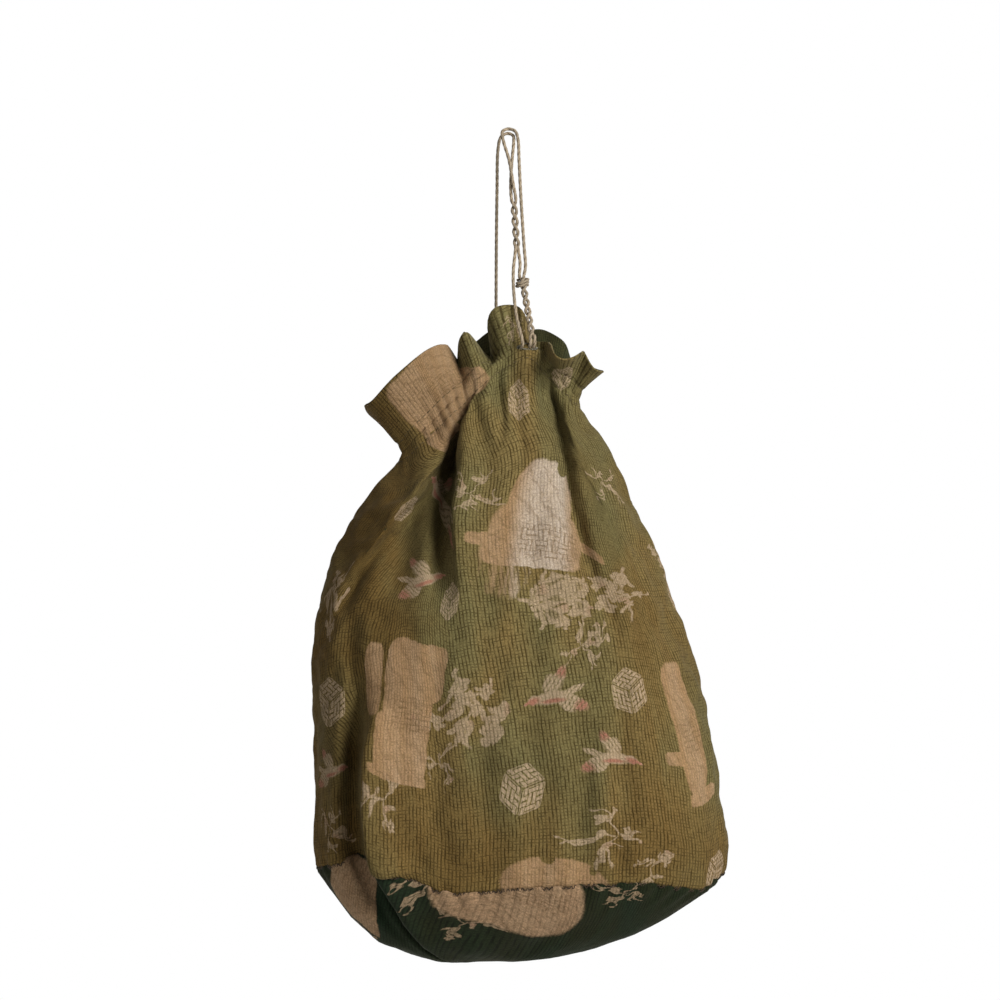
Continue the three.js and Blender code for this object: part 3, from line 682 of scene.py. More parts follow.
# Local coordinates of every motif at every place of the cloth, upright at its own middle.
def motifCoordinates(places, rowArc, columnArc, motifs, byAngle):
    picture = seen(places)
    out = gridNormals(places)
    found = []
    for kind, across, level, wide, tall, turned, mirror in motifs:
        if byAngle:
            miss = np.abs(wrapped(angles[:, :] - across)) * 1.2 + np.abs(places[..., 2] - level)
        else:
            miss = np.hypot(picture[..., 0] - across, picture[..., 1] - level)
            miss = np.where(out[..., 1] < 0.1, miss, 999)
        r, c = np.unravel_index(np.argmin(miss), miss.shape)
        a = rowArc - rowArc[:, c:c + 1]
        b = columnArc - columnArc[r:r + 1, :]
        alongRow = places[r, min(c + 2, places.shape[1] - 1)] - places[r, max(c - 2, 0)]
        downColumn = places[min(r + 2, len(places) - 1), c] - places[max(r - 2, 0), c]
        alongRow /= np.linalg.norm(alongRow)
        downColumn /= np.linalg.norm(downColumn)
        face = out[r, c]
        down = np.array([0, 0, -1.0]) - face * -face[2]
        down /= np.linalg.norm(down)
        sideways = np.cross(face, down)
        if np.dot(sideways, alongRow) < 0:
            sideways = -sideways
        p = a * np.dot(alongRow, sideways) + b * np.dot(downColumn, sideways)
        q = -(a * np.dot(alongRow, down) + b * np.dot(downColumn, down))
        spin = math.radians(turned)
        found.append(np.stack([
            (p * math.cos(spin) + q * math.sin(spin)) * mirror / wide,
            (-p * math.sin(spin) + q * math.cos(spin)) / tall,
            # the kind, and a seed
            np.full_like(p, motifKinds[kind] + 0.3 * math.sin(across * 1.7 + wide * 5)),
        ], axis=-1))
    return np.array(found)


def markPrints(mesh, row, column, layers):
    for name, found in layers.items():
        middle = found[:, row, column, :2].mean(axis=2)
        nearest = np.argmin(np.hypot(middle[..., 0], middle[..., 1]), axis=0)
        values = found[nearest[:, None], row, column]
        layer = mesh.attributes.new(name, "FLOAT_VECTOR", "CORNER")
        layer.data.foreach_set("vector", values.ravel())


def layout(places, rowArc, columnArc, front, back):
    parts = [motifCoordinates(places, rowArc, columnArc, front, False)]
    if back:
        parts.append(motifCoordinates(places, rowArc, columnArc, back, True))
    return np.concatenate(parts)


bagLayers = {
    "smallPrint": layout(cloth, alongRows, downColumns, smallPrints, backPrints["small"]),
    "boardPrint": layout(cloth, alongRows, downColumns, boards, backPrints["boards"]),
    "sprayPrint": layout(cloth, alongRows, downColumns, sprays, backPrints["sprays"]),
}


def markBag(mesh, row, column):
    weave = mesh.uv_layers.new(name="weave")
    onWeave = np.stack([weaveAcross[row, column], -weaveDown[row, column]], axis=-1)
    weave.data.foreach_set("uv", onWeave.ravel() / 1000)
    markPrints(mesh, row, column, bagLayers)


def thicken(piece, thick, thin=1.0):
    skin = piece.modifiers.new("cloth", "SOLIDIFY")
    skin.thickness = thick
    skin.offset = 0
    skin.use_even_offset = False
    skin.material_offset = 1
    if thin < 1:
        skin.vertex_group = "doubled"
        skin.thickness_vertex_group = thin


bagCloth = bentGrid("bagCloth", cloth / 1000, rolled=True, marks=markBag)
doubled = bagCloth.vertex_groups.new(name="doubled")
for vertex in bagCloth.data.vertices:
    if vertex.co.z > -0.2:
        doubled.add([vertex.index], 1.0 if vertex.co.z > -0.13 else 0.6, "REPLACE")
thicken(bagCloth, 0.0012, 0.5)

# base cloth: its rim is tucked inside the foot of the bag
baseShares = np.concatenate([[0.0, 0.0], np.linspace(0.012, 1, pouch["baseRows"])])
shares2, angles2 = np.meshgrid(baseShares, columnAngles, indexing="ij")
base = basePlace(angles2, shares2)
baseOut = gridNormals(basePlace(angles2, np.clip(shares2, 0.01, 0.99)))
base[0] += (0, 0, 2.4)
base[0] -= casingOut(angles2[0]) * 1.8
base[1] += (0, 0, 0.4)
base[1] -= casingOut(angles2[1]) * 0.5
baseRow, baseColumn = distances(base, 1), distances(base)
rimArc = baseRow[1][None, :]
basePucker = np.sin(2 * np.pi * rimArc / 12 + 2.2 * np.sin(rimArc / 19) + 1)
slack = ripple(base * (0.6, 0.8, 1), 16, 5.7)
baseHeight = 1.0 * basePucker * np.exp(-((baseColumn - baseColumn[1]) / 12) ** 2)
baseHeight += 2.2 * slack * smooth(0, 0.25, shares2) * (1 - smooth(0.8, 0.95, shares2))
baseHeight += 0.4 * ripple(base, 6, 1.2)
baseHeight[0] = 0
baseHeight[-1] = 0
base = base + baseOut * baseHeight[..., None]
base[-1] = base[-1].mean(axis=0)
base[:, -1] = base[:, 0]
baseRow, baseColumn = distances(base, 1), distances(base)
fromMiddle = baseColumn[-1] - baseColumn
baseTurn = np.radians(angles2)
baseFlat = np.stack([fromMiddle * np.sin(baseTurn), -fromMiddle * np.cos(baseTurn)], axis=-1)
# kind, place across and down in the picture, half width, half height, turn, mirror
basePrints = {
    "boardPrint": [("foot", 5, -455, 33, 29, 0, -1), ("panel", -94, -457, 24, 30, -10, 1)],
    "sprayPrint": [("twig", -48, -453, 15, 13, 0, 1), ("stem", -28, -477, 16, 11, 50, 1),
        ("twig", 70, -459, 22, 8, 0, 1),
                   ("stem", -86, -482, 10, 14, 20, 1)],
}
print("base cloth shaped")


def baseLayout(motifs):
    picture = seen(base)
    found = []
    for kind, across, level, wide, tall, turned, mirror in motifs:
        miss = np.hypot(picture[..., 0] - across, picture[..., 1] - level)
        miss = np.where(base[..., 1] < 0, miss, 999)
        r, c = np.unravel_index(np.argmin(miss), miss.shape)
        p = baseFlat[..., 0] - baseFlat[r, c, 0]
        q = baseFlat[..., 1] - baseFlat[r, c, 1]
        spin = math.radians(turned)
        found.append(np.stack([
            (p * math.cos(spin) + q * math.sin(spin)) / wide,
            mirror * (-p * math.sin(spin) + q * math.cos(spin)) / tall,
            np.full_like(p, motifKinds[kind]),
        ], axis=-1))
    return np.array(found)


def markBase(mesh, row, column):
    weave = mesh.uv_layers.new(name="weave")
    weave.data.foreach_set("uv", (baseFlat[row, column] / 1000).ravel())
    markPrints(mesh, row, column, {name: baseLayout(motifs) for name, motifs in basePrints.items()})


baseCloth = bentGrid("baseCloth", base / 1000, rolled=True, marks=markBase)
thicken(baseCloth, 0.0007)


# sewing
sewing = {"seamPitch": 2.9, "casingPitch": 4.2}


# A place on the outer side of the bag cloth, for a row and column that may be fractions.
def onCloth(places, outs, row, column, lift):
    r = np.clip(np.floor(row).astype(int), 0, len(places) - 2)
    c = np.floor(column).astype(int)
    down, aside = (row - r)[..., None], (column - c)[..., None]
    count = places.shape[1] - 1
    c0, c1 = c % count, c % count + 1

    def mix(field):
        top = field[r, c0] * (1 - aside) + field[r, c1] * aside
        foot = field[r + 1, c0] * (1 - aside) + field[r + 1, c1] * aside
        return top * (1 - down) + foot * down

    return mix(places) + unit(mix(outs)) * lift


# A plain round thread along points, with its ends filled.
def thread(name, points, thick, sides=6):
    points = np.array(points)
    runs = unit(np.gradient(points, axis=0))
    aside = unit(np.cross(runs, (0.21, 0.37, 0.9)))
    up = np.cross(runs, aside)
    turns = np.linspace(0, 2 * np.pi, sides + 1)
    places = (
        points[:, None]
        + aside[:, None] * np.cos(turns)[None, :, None] * thick / 2
        + up[:, None] * np.sin(turns)[None, :, None] * thick / 2
    )
    return bentGrid(name, places / 1000, rolled=True, filled=True)


def joined(name, pieces):
    mesh = bpy.data.meshes.new(name)
    whole = bmesh.new()
    for piece in pieces:
        whole.from_mesh(piece.data)
        bpy.data.objects.remove(piece)
    whole.to_mesh(mesh)
    whole.free()
    return added(name, mesh)


clothOut = gridNormals(cloth)
rimLength = alongRows[lastRow, -1]
loops = round(rimLength / sewing["seamPitch"])
rimStops = np.linspace(0, rimLength, loops * 8 + 1)
rimColumns = np.interp(rimStops, alongRows[lastRow], np.arange(pouch["columns"] + 1))
sway = np.linspace(0, loops * 2 * np.pi, loops * 8 + 1)
uneven = 0.75 + 0.35 * np.sin(sway / 5.3) * np.sin(sway / 13.1)
rise = 1.5 * np.cos(sway) * uneven
place = onCloth(cloth, clothOut, np.full_like(rimColumns, lastRow - 0.02), rimColumns, 0.0)
outThere = clothOut[lastRow, np.clip(np.rint(rimColumns).astype(int), 0, pouch["columns"])]
upThere = unit(np.cross(np.gradient(place, axis=0), outThere))
upThere *= np.sign(upThere[:, 2:3])
proud = 0.75 - 0.5 * np.abs(np.cos(sway)) ** 2
seamPoints = place + upThere * (rise - 0.2)[:, None] + outThere * proud[:, None]
seamThread = thread("seamThread", seamPoints, 0.55)

casingStitches = []
for label, rowAt in (("upper", -6.4), ("lower", 6.6)):
    target = casingRow + np.zeros(pouch["columns"] + 1)
    for c in range(pouch["columns"] + 1):
        column = downColumns[:, c] - downColumns[casingRow, c]
        target[c] = np.interp(rowAt, column, np.arange(len(column)))
    ringLength = alongRows[casingRow, -1]
    stitchCount = round(ringLength / sewing["casingPitch"])
    dashes = []
    for k in range(stitchCount):
        spot = np.linspace(k + 0.12, k + 0.78, 7) / stitchCount * ringLength
        columnsAt = np.interp(spot, alongRows[casingRow], np.arange(pouch["columns"] + 1))
        columnsAt = np.minimum(columnsAt, pouch["columns"] - 0.01)
        rowsAt = np.interp(columnsAt, np.arange(pouch["columns"] + 1), target)
        lift = 0.42 + 0.34 * np.sin(np.linspace(0, np.pi, 7)) - 0.3
        route = onCloth(cloth, clothOut, rowsAt, columnsAt, lift[:, None] + 0.25)
        dashes.append(thread("dash", route, 0.34, 5))
    casingStitches.append(joined("casing_" + label + "_stitches", dashes))

closingPoints = []
for row in np.arange(casingRow + 6, lastRow, 0.5):
    closingPoints.append((row, pouch["columns"] - 0.6))
closingPoints = np.array(closingPoints)
ridge = onCloth(cloth, clothOut, closingPoints[:, 0], closingPoints[:, 1], 0.0)
outRidge = clothOut[np.rint(closingPoints[:, 0]).astype(int), pouch["columns"]]
bob = 0.28 + 0.34 * np.sin(np.arange(len(ridge)) * 0.9)[:, None]
closingThread = thread("closingThread", ridge + outRidge * bob, 0.34, 5)

slits = {"front": (13, 25, 2.2), "back": (7, 177, 2.2)}
slitPieces = {}
for side, (length, atAngle, tall) in slits.items():
    c = np.interp(atAngle if side == "front" else atAngle - 360, columnAngles, np.arange(len(columnAngles)))
    centre = onCloth(cloth, clothOut, np.array([casingRow + 0.0]), np.array([c]), 0.0)[0]
    outward = clothOut[casingRow, int(round(c))]
    across = unit(np.cross((0, 0, 1.0), outward))
    upward = np.cross(outward, across)
    points = []
    whips = 30 if side == "front" else 18
    for k in range(whips * 6 + 1):
        turnAt = k / (whips * 6) * 2 * math.pi
        whip = k / 6 * 2 * math.pi
        wide = length / 2 + 0.55 * math.cos(whip)
        high = tall / 2 + 0.7 + 0.55 * math.cos(whip)
        spot = centre + across * wide * math.cos(turnAt) + upward * high * math.sin(turnAt)
        near = np.argmin(np.linalg.norm(cloth[casingRow - 8:casingRow + 9] - spot, axis=-1))
        nr, nc = np.unravel_index(near, (17, cloth.shape[1]))
        foot = cloth[casingRow - 8 + nr, nc]
        normal = clothOut[casingRow - 8 + nr, nc]
        spot = spot + normal * (np.dot(foot - spot, normal) + 0.75 + 0.35 * math.sin(whip))
        points.append(spot)
    slitPieces[side] = thread("slit_" + side, points, 0.5, 6)
print("sewing done")


# shader helpers; a node goes into the tree of the sockets that feed it
def addNode(tree, kind, settings=None, **inputs):
    node = tree.nodes.new("ShaderNode" + kind)
    for name, value in (settings or {}).items():
        setattr(node, name, value)
    for name, value in inputs.items():
        socket = node.inputs[int(name[1:])] if name[0] == "i" and name[1:].isdigit() else node.inputs[name]
        if isinstance(value, bpy.types.NodeSocket):
            tree.links.new(value, socket)
        else:
            socket.default_value = value
    return node


def treeOf(*values):
    return next(value.id_data for value in values if isinstance(value, bpy.types.NodeSocket))


def sums(operation, a, b=0.0, clamp=False):
    return addNode(treeOf(a, b), "Math", {"operation": operation, "use_clamp": clamp}, i0=a, i1=b).outputs[0]


def times(a, b):
    return sums("MULTIPLY", a, b)


def plus(a, b, clamp=False):
    return sums("ADD", a, b, clamp)


def minus(a, b, clamp=False):
    return sums("SUBTRACT", a, b, clamp)


def highest(*masks):
    top = masks[0]
    for mask in masks[1:]:
        top = sums("MAXIMUM", top, mask)
    return top


def vectors(operation, *values):
    inputs = {"i" + str(k): value for k, value in enumerate(values)}
    return addNode(treeOf(*values), "VectorMath", {"operation": operation}, **inputs).outputs[0]


def reachOf(vector):
    return addNode(treeOf(vector), "VectorMath", {"operation": "LENGTH"}, i0=vector).outputs["Value"]


def split(vector):
    return addNode(treeOf(vector), "SeparateXYZ", i0=vector).outputs


def combined(x, y, z=0.0):
    return addNode(treeOf(x, y), "CombineXYZ", i0=x, i1=y, i2=z).outputs[0]


def scaled(vector, scale, **more):
    return addNode(treeOf(vector), "Mapping", Vector=vector, Scale=scale, **more).outputs[0]


def ramp(value, start, end, low=0.0, high=1.0):
    limits = {"From Min": start, "From Max": end, "To Min": low, "To Max": high}
    node = addNode(treeOf(value), "MapRange", {"interpolation_type": "SMOOTHSTEP"}, Value=value, **limits)
    return node.outputs[0]


def mixColour(factor, a, b, blend="MIX"):
    settings = {"data_type": "RGBA", "blend_type": blend}
    return addNode(treeOf(factor, a, b), "Mix", settings, i0=factor, i6=a, i7=b).outputs[2]


# Multiplies a colour by a grey.
def shaded(factor, colour, grey):
    shade = addNode(treeOf(grey), "CombineColor", i0=grey, i1=grey, i2=grey).outputs[0]
    return mixColour(factor, colour, shade, "MULTIPLY")


# The vector seen from a shape's own middle, turn and size.
def local(vector, middle, size, turned=0.0):
    return addNode(
        treeOf(vector), "Mapping", {"vector_type": "TEXTURE"}, Vector=vector,
        Location=(*middle, 0), Rotation=(0, 0, math.radians(turned)), Scale=(*size, 1),
    ).outputs[0]


def oval(vector, middle, size, turned=0.0, soft=0.12):
    return ramp(reachOf(local(vector, middle, size, turned)), 1 + soft, 1 - soft)


# A box with round corners.
def block(vector, middle, size, turned=0.0, soft=0.06, power=5.0):
    apart = split(local(vector, middle, size, turned))
    across, upward = (sums("POWER", sums("ABSOLUTE", apart[k]), power) for k in (0, 1))
    return ramp(plus(across, upward), 1 + soft * power, 1 - soft * power)


# Many shapes in one, from a table of middle, size, turn, softness and, for boxes, power.
def merged(shape, vector, table):
    masks = []
    for row in table:
        masks.append(shape(vector, row[:2], row[2:4], *row[4:]))
    return highest(*masks)


def noiseAt(vector, scale, detail=2.0, rough=0.5, twist=0.0, colour=False):
    node = addNode(
        treeOf(vector), "TexNoise", Vector=vector,
        Scale=scale, Detail=detail, Roughness=rough, Distortion=twist,
    )
    return node.outputs["Color" if colour else "Fac"]


# Edges of printed shapes run a little, as dye does on crepe.
def bled(vector, amount, scale):
    shake = vectors("SUBTRACT", noiseAt(vector, scale, 4, 0.72, colour=True), (0.5, 0.5, 0.5))
    return vectors("ADD", vector, vectors("MULTIPLY", shake, (amount, amount, 0)))


def ofKind(kind, number):
    node = addNode(treeOf(kind), "Math", {"operation": "COMPARE"}, i0=kind, i1=float(number), i2=0.4)
    return node.outputs[0]


groups = {}


# A node group: an input without a value is a vector, the others are numbers.
def newGroup(name, **inputs):
    group = bpy.data.node_groups.new(name, "ShaderNodeTree")
    for title, value in inputs.items():
        kind = "NodeSocketVector" if value is None else "NodeSocketFloat"
        socket = group.interface.new_socket(title, in_out="INPUT", socket_type=kind)
        if value is not None:
            socket.default_value = value
    groups[name] = group
    return group, group.nodes.new("NodeGroupInput").outputs


def giveOut(group, **results):
    for title in results:
        group.interface.new_socket(title, in_out="OUTPUT", socket_type="NodeSocketFloat")
    end = group.nodes.new("NodeGroupOutput").inputs
    for title, value in results.items():
        group.links.new(value, end[title])


def placeGroup(name, **inputs):
    return addNode(treeOf(*inputs.values()), "Group", {"node_tree": groups[name]}, **inputs).outputs


def waves(vector, scale, twist, detail):
    settings = {"wave_type": "BANDS", "bands_direction": "DIAGONAL"}
    inputs = {"Vector": vector, "Scale": scale, "Distortion": twist, "Detail": detail}
    return addNode(treeOf(vector), "TexWave", settings, **inputs).outputs["Fac"]


# weave: uneven thread lines both ways, a couple of millimetres apart
weaveSizes = {"across": 0.00225, "down": 0.0019, "wander": 0.3, "lines": ((0.1, 0.3), (0.08, 0.24))}


def weaveGroup():
    group, given = newGroup("weave", Vector=None)
    vector = given["Vector"]
    wander = (weaveSizes["wander"], weaveSizes["wander"], 0)
    shake = noiseAt(vector, 260, 2, colour=True)
    cells = vectors("DIVIDE", vector, (weaveSizes["across"], weaveSizes["down"], 1))
    apart = split(vectors("MULTIPLY_ADD", shake, wander, cells))
    lines = []
    for k, (thin, wide) in enumerate(weaveSizes["lines"]):
        lines.append(ramp(sums("ABSOLUTE", minus(sums("FRACT", apart[k]), 0.5)), wide, thin))
    broken, broken2 = (noiseAt(scaled(vector, scale), 1, 2) for scale in ((520, 150, 1), (150, 520, 1)))
    upright = times(lines[0], ramp(broken, 0.3, 0.62, 0.25, 1))
    level = times(lines[1], ramp(broken2, 0.36, 0.66, 0.1, 0.8))
    both = highest(upright, level)
    fine, fine2 = (noiseAt(scaled(vector, scale), 1, 2, 0.6) for scale in ((2600, 700, 1), (700, 2600, 1)))
    threads = times(plus(fine, fine2), 0.5)
    giveOut(group, Lines=both, Threads=threads, Height=minus(times(threads, 0.6), both))


# fading: long streaks down the cloth and soft patches
def fadeGroup():
    group, given = newGroup("fade", Cloth=None, Place=None)
    spot, place = given["Cloth"], given["Place"]
    soft = scaled(place, (1.6, 1, 0.7), Location=(0.31, 0.4, 0.13))
    giveOut(
        group,
        Streaks=ramp(noiseAt(scaled(spot, (95, 5, 1)), 1, 3, 0.55), 0.3, 0.72),
        Patches=ramp(noiseAt(place, 17, 3, 0.5), 0.32, 0.7),
        Green=ramp(noiseAt(soft, 14, 2, 0.5, 0.4), 0.38, 0.66),
        Wear=ramp(noiseAt(spot, 420, 4, 0.7), 0.3, 0.7),
    )


# a small bird in flight, seen from the side: body, head and beak, then wings and tail, then the red tips
birdParts = {
    "body": [
        (0.12, -0.04, 0.5, 0.22, 8, 0.2), (0.62, 0.08, 0.19, 0.16, 0, 0.2),
        (0.84, 0.07, 0.13, 0.05, -10, 0.2),
    ],
    "wings": [
        (-0.2, 0.44, 0.19, 0.52, 34, 0.2), (0.06, 0.34, 0.2, 0.42, 14, 0.2),
        (-0.46, -0.4, 0.22, 0.5, -42, 0.2),
        (-0.24, -0.38, 0.16, 0.4, -24, 0.2), (-0.56, 0.0, 0.38, 0.12, -12, 0.2),
    ],
    "tips": [
        (-0.46, 0.76, 0.24, 0.24, 38, 0.5), (0.72, 0.04, 0.24, 0.14, 0, 0.5),
        (-0.72, -0.66, 0.28, 0.24, -38, 0.5), (0.1, -0.16, 0.36, 0.07, 12, 0.5),
    ],
}


def birdGroup():
    group, given = newGroup("bird", Vector=None)
    vector = bled(given["Vector"], 0.16, 3.6)
    body, wings, tips = (merged(oval, vector, birdParts[name]) for name in ("body", "wings", "tips"))
    feather = ramp(waves(vector, 3.4, 3.0, 2.0), 0.05, 0.4, 0.4, 1)
    shape = highest(body, times(wings, feather))
    giveOut(group, Shape=shape, Red=times(tips, times(shape, 0.8)))


# key pattern: short bars that run across in one cell and up in the next
def keyGroup():
    group, given = newGroup("key", Vector=None)
    vector = given["Vector"]
    chess = addNode(group, "TexChecker", Vector=vector, Scale=1.0).outputs["Fac"]
    apart = split(vector)
    runs = [sums("ABSOLUTE", minus(sums("FRACT", times(apart[k], 2.0)), 0.5)) for k in (0, 1)]
    chosen = addNode(group, "Mix", {"data_type": "FLOAT"}, i0=chess, i2=runs[0], i3=runs[1]).outputs[0]
    giveOut(group, Bars=ramp(chosen, 0.38, 0.28), Rules=ramp(chosen, 0.28, 0.4))


# a six-sided lattice box: three leaning faces of crossed links
def latticeGroup():
    group, given = newGroup("lattice", Vector=None)
    apart = split(bled(given["Vector"], 0.05, 6))
    x, y = apart[0], apart[1]
    lean = times(x, 0.577)
    faces = [
        (plus(y, lean), minus(y, lean)),
        (times(x, -1.155), minus(times(lean, -1.0), y)),
        (times(x, 1.155), minus(lean, y)),
    ]
    masks = []
    for u, v in faces:
        flat = combined(u, v)
        inside, inner = (block(flat, (0.5, 0.5), (half, half), 0, 0.02, 12) for half in (0.47, 0.42))
        links = placeGroup("key", Vector=vectors("MULTIPLY_ADD", flat, (2.4, 2.4, 0), (0.3, 0.3, 0)))["Bars"]
        rim = times(ramp(minus(1.0, inner), 0.2, 0.8), 0.6)
        masks.append(times(inside, highest(links, rim)))
    giveOut(group, Shape=highest(*masks))


# pale picture boards: an arch with side rails, a leaning screen, a slab with rails, a plain panel
boardParts = {
    "arch": [
        (0.02, 0.5, 0.56, 0.66, 0, 0.05, 2.6), (0.0, 0.1, 0.76, 0.46, 0, 0.05, 3),
        (-0.08, -0.2, 0.78, 0.2, 0, 0.06, 4), (-0.86, -0.02, 0.26, 0.09, 4, 0.1, 4),
        (0.92, 0.12, 0.24, 0.09, 4, 0.1, 4),
    ],
    "screen": [
        (0.1, 0.62, 0.62, 0.4, -4, 0.03, 5), (0.02, 0.1, 0.5, 0.72, 4, 0.03, 4),
        (-0.05, -0.5, 0.56, 0.5, 0, 0.03, 5), (-0.78, 0.35, 0.2, 0.5, 4, 0.04, 5),
        (-0.1, -0.92, 0.62, 0.08, -4, 0.06, 5),
    ],
    "slab": [
        (0.0, 0.1, 0.5, 0.92, 3, 0.03, 4), (-0.3, -0.3, 0.72, 0.1, 0, 0.06, 5),
        (0.2, -0.86, 0.6, 0.1, 0, 0.06, 5),
    ],
    "panel": [(0.0, 0.0, 0.9, 0.9, 3, 0.04, 8)],
}


def boardGroup():
    group, given = newGroup("boards", Vector=None, Kind=0.0)
    vector = bled(bled(given["Vector"], 0.1, 1.4), 0.08, 8)
    masks = {name: merged(block, vector, parts) for name, parts in boardParts.items()}
    # the arch has a ragged lower corner and a hole, the foot board is an oval with two notches
    ragged = block(bled(vector, 0.5, 2.6), (-0.5, -0.42), (0.36, 0.42), -8, 0.2, 3)
    ragged = times(ragged, ramp(noiseAt(scaled(vector, (7, 0.9, 1)), 1, 3, 0.6), 0.4, 0.58))
    hole = oval(vector, (0.26, 1.12), (0.12, 0.13), 0, 0.12)
    masks["arch"] = minus(highest(masks["arch"], times(ragged, 0.8)), hole, True)
    disc = oval(vector, (0.0, 0.0), (0.98, 0.98), 0, 0.05)
    disc = highest(disc, block(vector, (-0.36, 0.1), (0.6, 0.5), 0, 0.06, 3))
    notches = merged(oval, vector, [(0.66, 0.62, 0.07, 0.14, 0, 0.15), (-0.16, 0.92, 0.13, 0.2, 0, 0.12)])
    masks["foot"] = minus(disc, notches, True)
    shape = 0.0
    for name, mask in masks.items():
        shape = plus(shape, times(mask, ofKind(given["Kind"], motifKinds[name])))
    # faint key fret, ruled lines and washed patches on the board
    fret = placeGroup("key", Vector=vectors("MULTIPLY", vector, (6.2, 6.6, 0)))["Rules"]
    band = block(bled(vector, 0.2, 2.2), (0.22, 0.0), (0.5, 0.24), 0, 0.06, 6)
    band = times(band, ramp(noiseAt(vector, 3.1, 2), 0.3, 0.46, 0.3, 1))
    rules = ramp(waves(vector, 1.6, 9.0, 3.0), 0.86, 1.0)
    washed = ramp(noiseAt(vector, 2.4, 4, 0.65), 0.5, 0.72)
    lines = highest(times(fret, times(band, 0.8)), times(rules, 0.4), times(washed, 0.45))
    aside = sums("ABSOLUTE", minus(split(vector)[0], 0.08))
    pale = times(ramp(aside, 0.6, 0.22), ofKind(given["Kind"], motifKinds["arch"]))
    giveOut(group, Shape=shape, Lines=lines, Pale=pale)


# a blossom with five petals and a darker eye
def flowerGroup():
    group, given = newGroup("flower", Vector=None)
    apart = split(given["Vector"])
    turn = times(sums("ARCTAN2", apart[1], apart[0]), 2.5)
    petals = plus(times(sums("ABSOLUTE", sums("SINE", turn)), 0.42), 0.52)
    reach = reachOf(given["Vector"])
    bloomed = ramp(minus(reach, petals), 0.12, -0.12)
    eye = times(ramp(reach, 0.32, 0.14), 0.55)
    giveOut(group, Shape=minus(bloomed, eye, True))


# Branches go out from the middle. For each kind: how many, the turn of the first, then the parts
# of one branch: blossoms (place along, place aside, size), twigs and leaves (place along and aside,
# half length, half width, turn).
sprayKinds = {
    "blossom": {
        "count": 5, "turn": 0.5, "middle": 0.3, "flowers": [(0.56, 0.03, 0.28)],
        "twigs": [(0.45, 0.0, 0.5, 0.045, 4), (0.9, 0.08, 0.12, 0.07, 30)],
    },
    "twig": {
        "count": 4, "turn": 0.9, "middle": 0.0, "flowers": [(0.42, 0.14, 0.19)],
        "twigs": [(0.46, 0.0, 0.5, 0.045, -4), (0.7, 0.17, 0.26, 0.04, 42), (0.95, -0.06, 0.11, 0.07, 20)],
    },
    "stem": {
        "count": 3, "turn": 0.2, "middle": 0.0, "flowers": [(0.93, 0.0, 0.22)],
        "twigs": [(0.42, 0.0, 0.5, 0.05, 3), (0.36, 0.17, 0.2, 0.08, 40), (0.66, -0.15, 0.19, 0.075, -40)],
    },
    "clump": {
        "count": 6, "turn": 0.3, "middle": 0.46, "flowers": [(0.6, 0.0, 0.42)],
        "twigs": [(0.92, 0.22, 0.16, 0.08, 30)],
    },
}


# sprays of blossom, bare twigs with buds, leafy stems and a full clump
def sprayGroup():
    group, given = newGroup("sprays", Vector=None, Kind=0.0)
    vector, kind = given["Vector"], given["Kind"]
    flat = split(vector)
    seeded = combined(flat[0], flat[1], times(kind, 17.0))
    shake = vectors("SUBTRACT", noiseAt(seeded, 0.9, 2, 0.6, colour=True), (0.44, 0.52, 0.5))
    shaken = bled(vectors("MULTIPLY_ADD", shake, (1.7, 1.7, 0), vector), 0.16, 5)
    apart = split(shaken)
    reach = reachOf(shaken)
    turn = plus(sums("ARCTAN2", apart[1], apart[0]), times(kind, 9.0))
    shape = 0.0
    for name, parts in sprayKinds.items():
        sector = 2 * math.pi / parts["count"]
        part = sums("FRACT", plus(sums("DIVIDE", turn, sector), parts["turn"] + 10))
        part = times(minus(part, 0.5), sector)
        branch = combined(times(reach, sums("COSINE", part)), times(reach, sums("SINE", part)))
        mask = 0.0
        for along, aside, long, wide, lean in parts["twigs"]:
            mask = highest(mask, oval(branch, (along, aside), (long, wide), lean, 0.3))
        blooms = [local(branch, (along, aside), (size, size), 25) for along, aside, size in parts["flowers"]]
        if parts["middle"]:
            blooms.append(local(shaken, (0, 0), (parts["middle"], parts["middle"]), 10))
        for spot in blooms:
            mask = highest(mask, placeGroup("flower", Vector=spot)["Shape"])
        shape = plus(shape, times(mask, ofKind(kind, motifKinds[name])))
    veins = ramp(noiseAt(vector, 9, 3, 0.7, 1.2), 0.36, 0.52, 0.68, 1.0)
    patch = ramp(noiseAt(vector, 1.7, 1), 0.56, 0.74)
    giveOut(group, Shape=times(shape, veins), Red=times(times(patch, shape), 0.35))


for makeGroup in (
    keyGroup, flowerGroup, weaveGroup, fadeGroup, birdGroup, latticeGroup, boardGroup, sprayGroup,
):
    makeGroup()

# cloth colours; the soil brown is the colour of the worn, handled parts and, at the left and right sides of
# the bag, painted shade as well
clothLook = {
    "ground": (121, 105, 65), "groundBrown": (114, 91, 51), "groundGreen": (95, 98, 66), "soilAndShade": (81, 52, 8),
    "line": (42, 31, 8), "pale": (170, 148, 122), "paleTan": (152, 120, 86), "paleGrey": (178, 163, 147),
    "rule": (100, 76, 52), "red": (142, 62, 54),
}
innerLook = dict(
    clothLook, ground=(58, 62, 36), groundBrown=(66, 54, 30), groundGreen=(40, 54, 34), line=(28, 27, 15),
    pale=(112, 94, 70), paleTan=(100, 80, 58), paleGrey=(110, 96, 76), red=(96, 44, 36),
)
baseLook = dict(
    clothLook, ground=(30, 38, 22), groundBrown=(34, 32, 16), groundGreen=(22, 40, 28), line=(10, 12, 6),
    pale=(158, 134, 106), paleTan=(154, 124, 94), paleGrey=(160, 138, 112),
)


def newMaterial(name):
    material = bpy.data.materials.new(name)
    material.use_nodes = True
    material.node_tree.nodes.clear()
    return material, material.node_tree


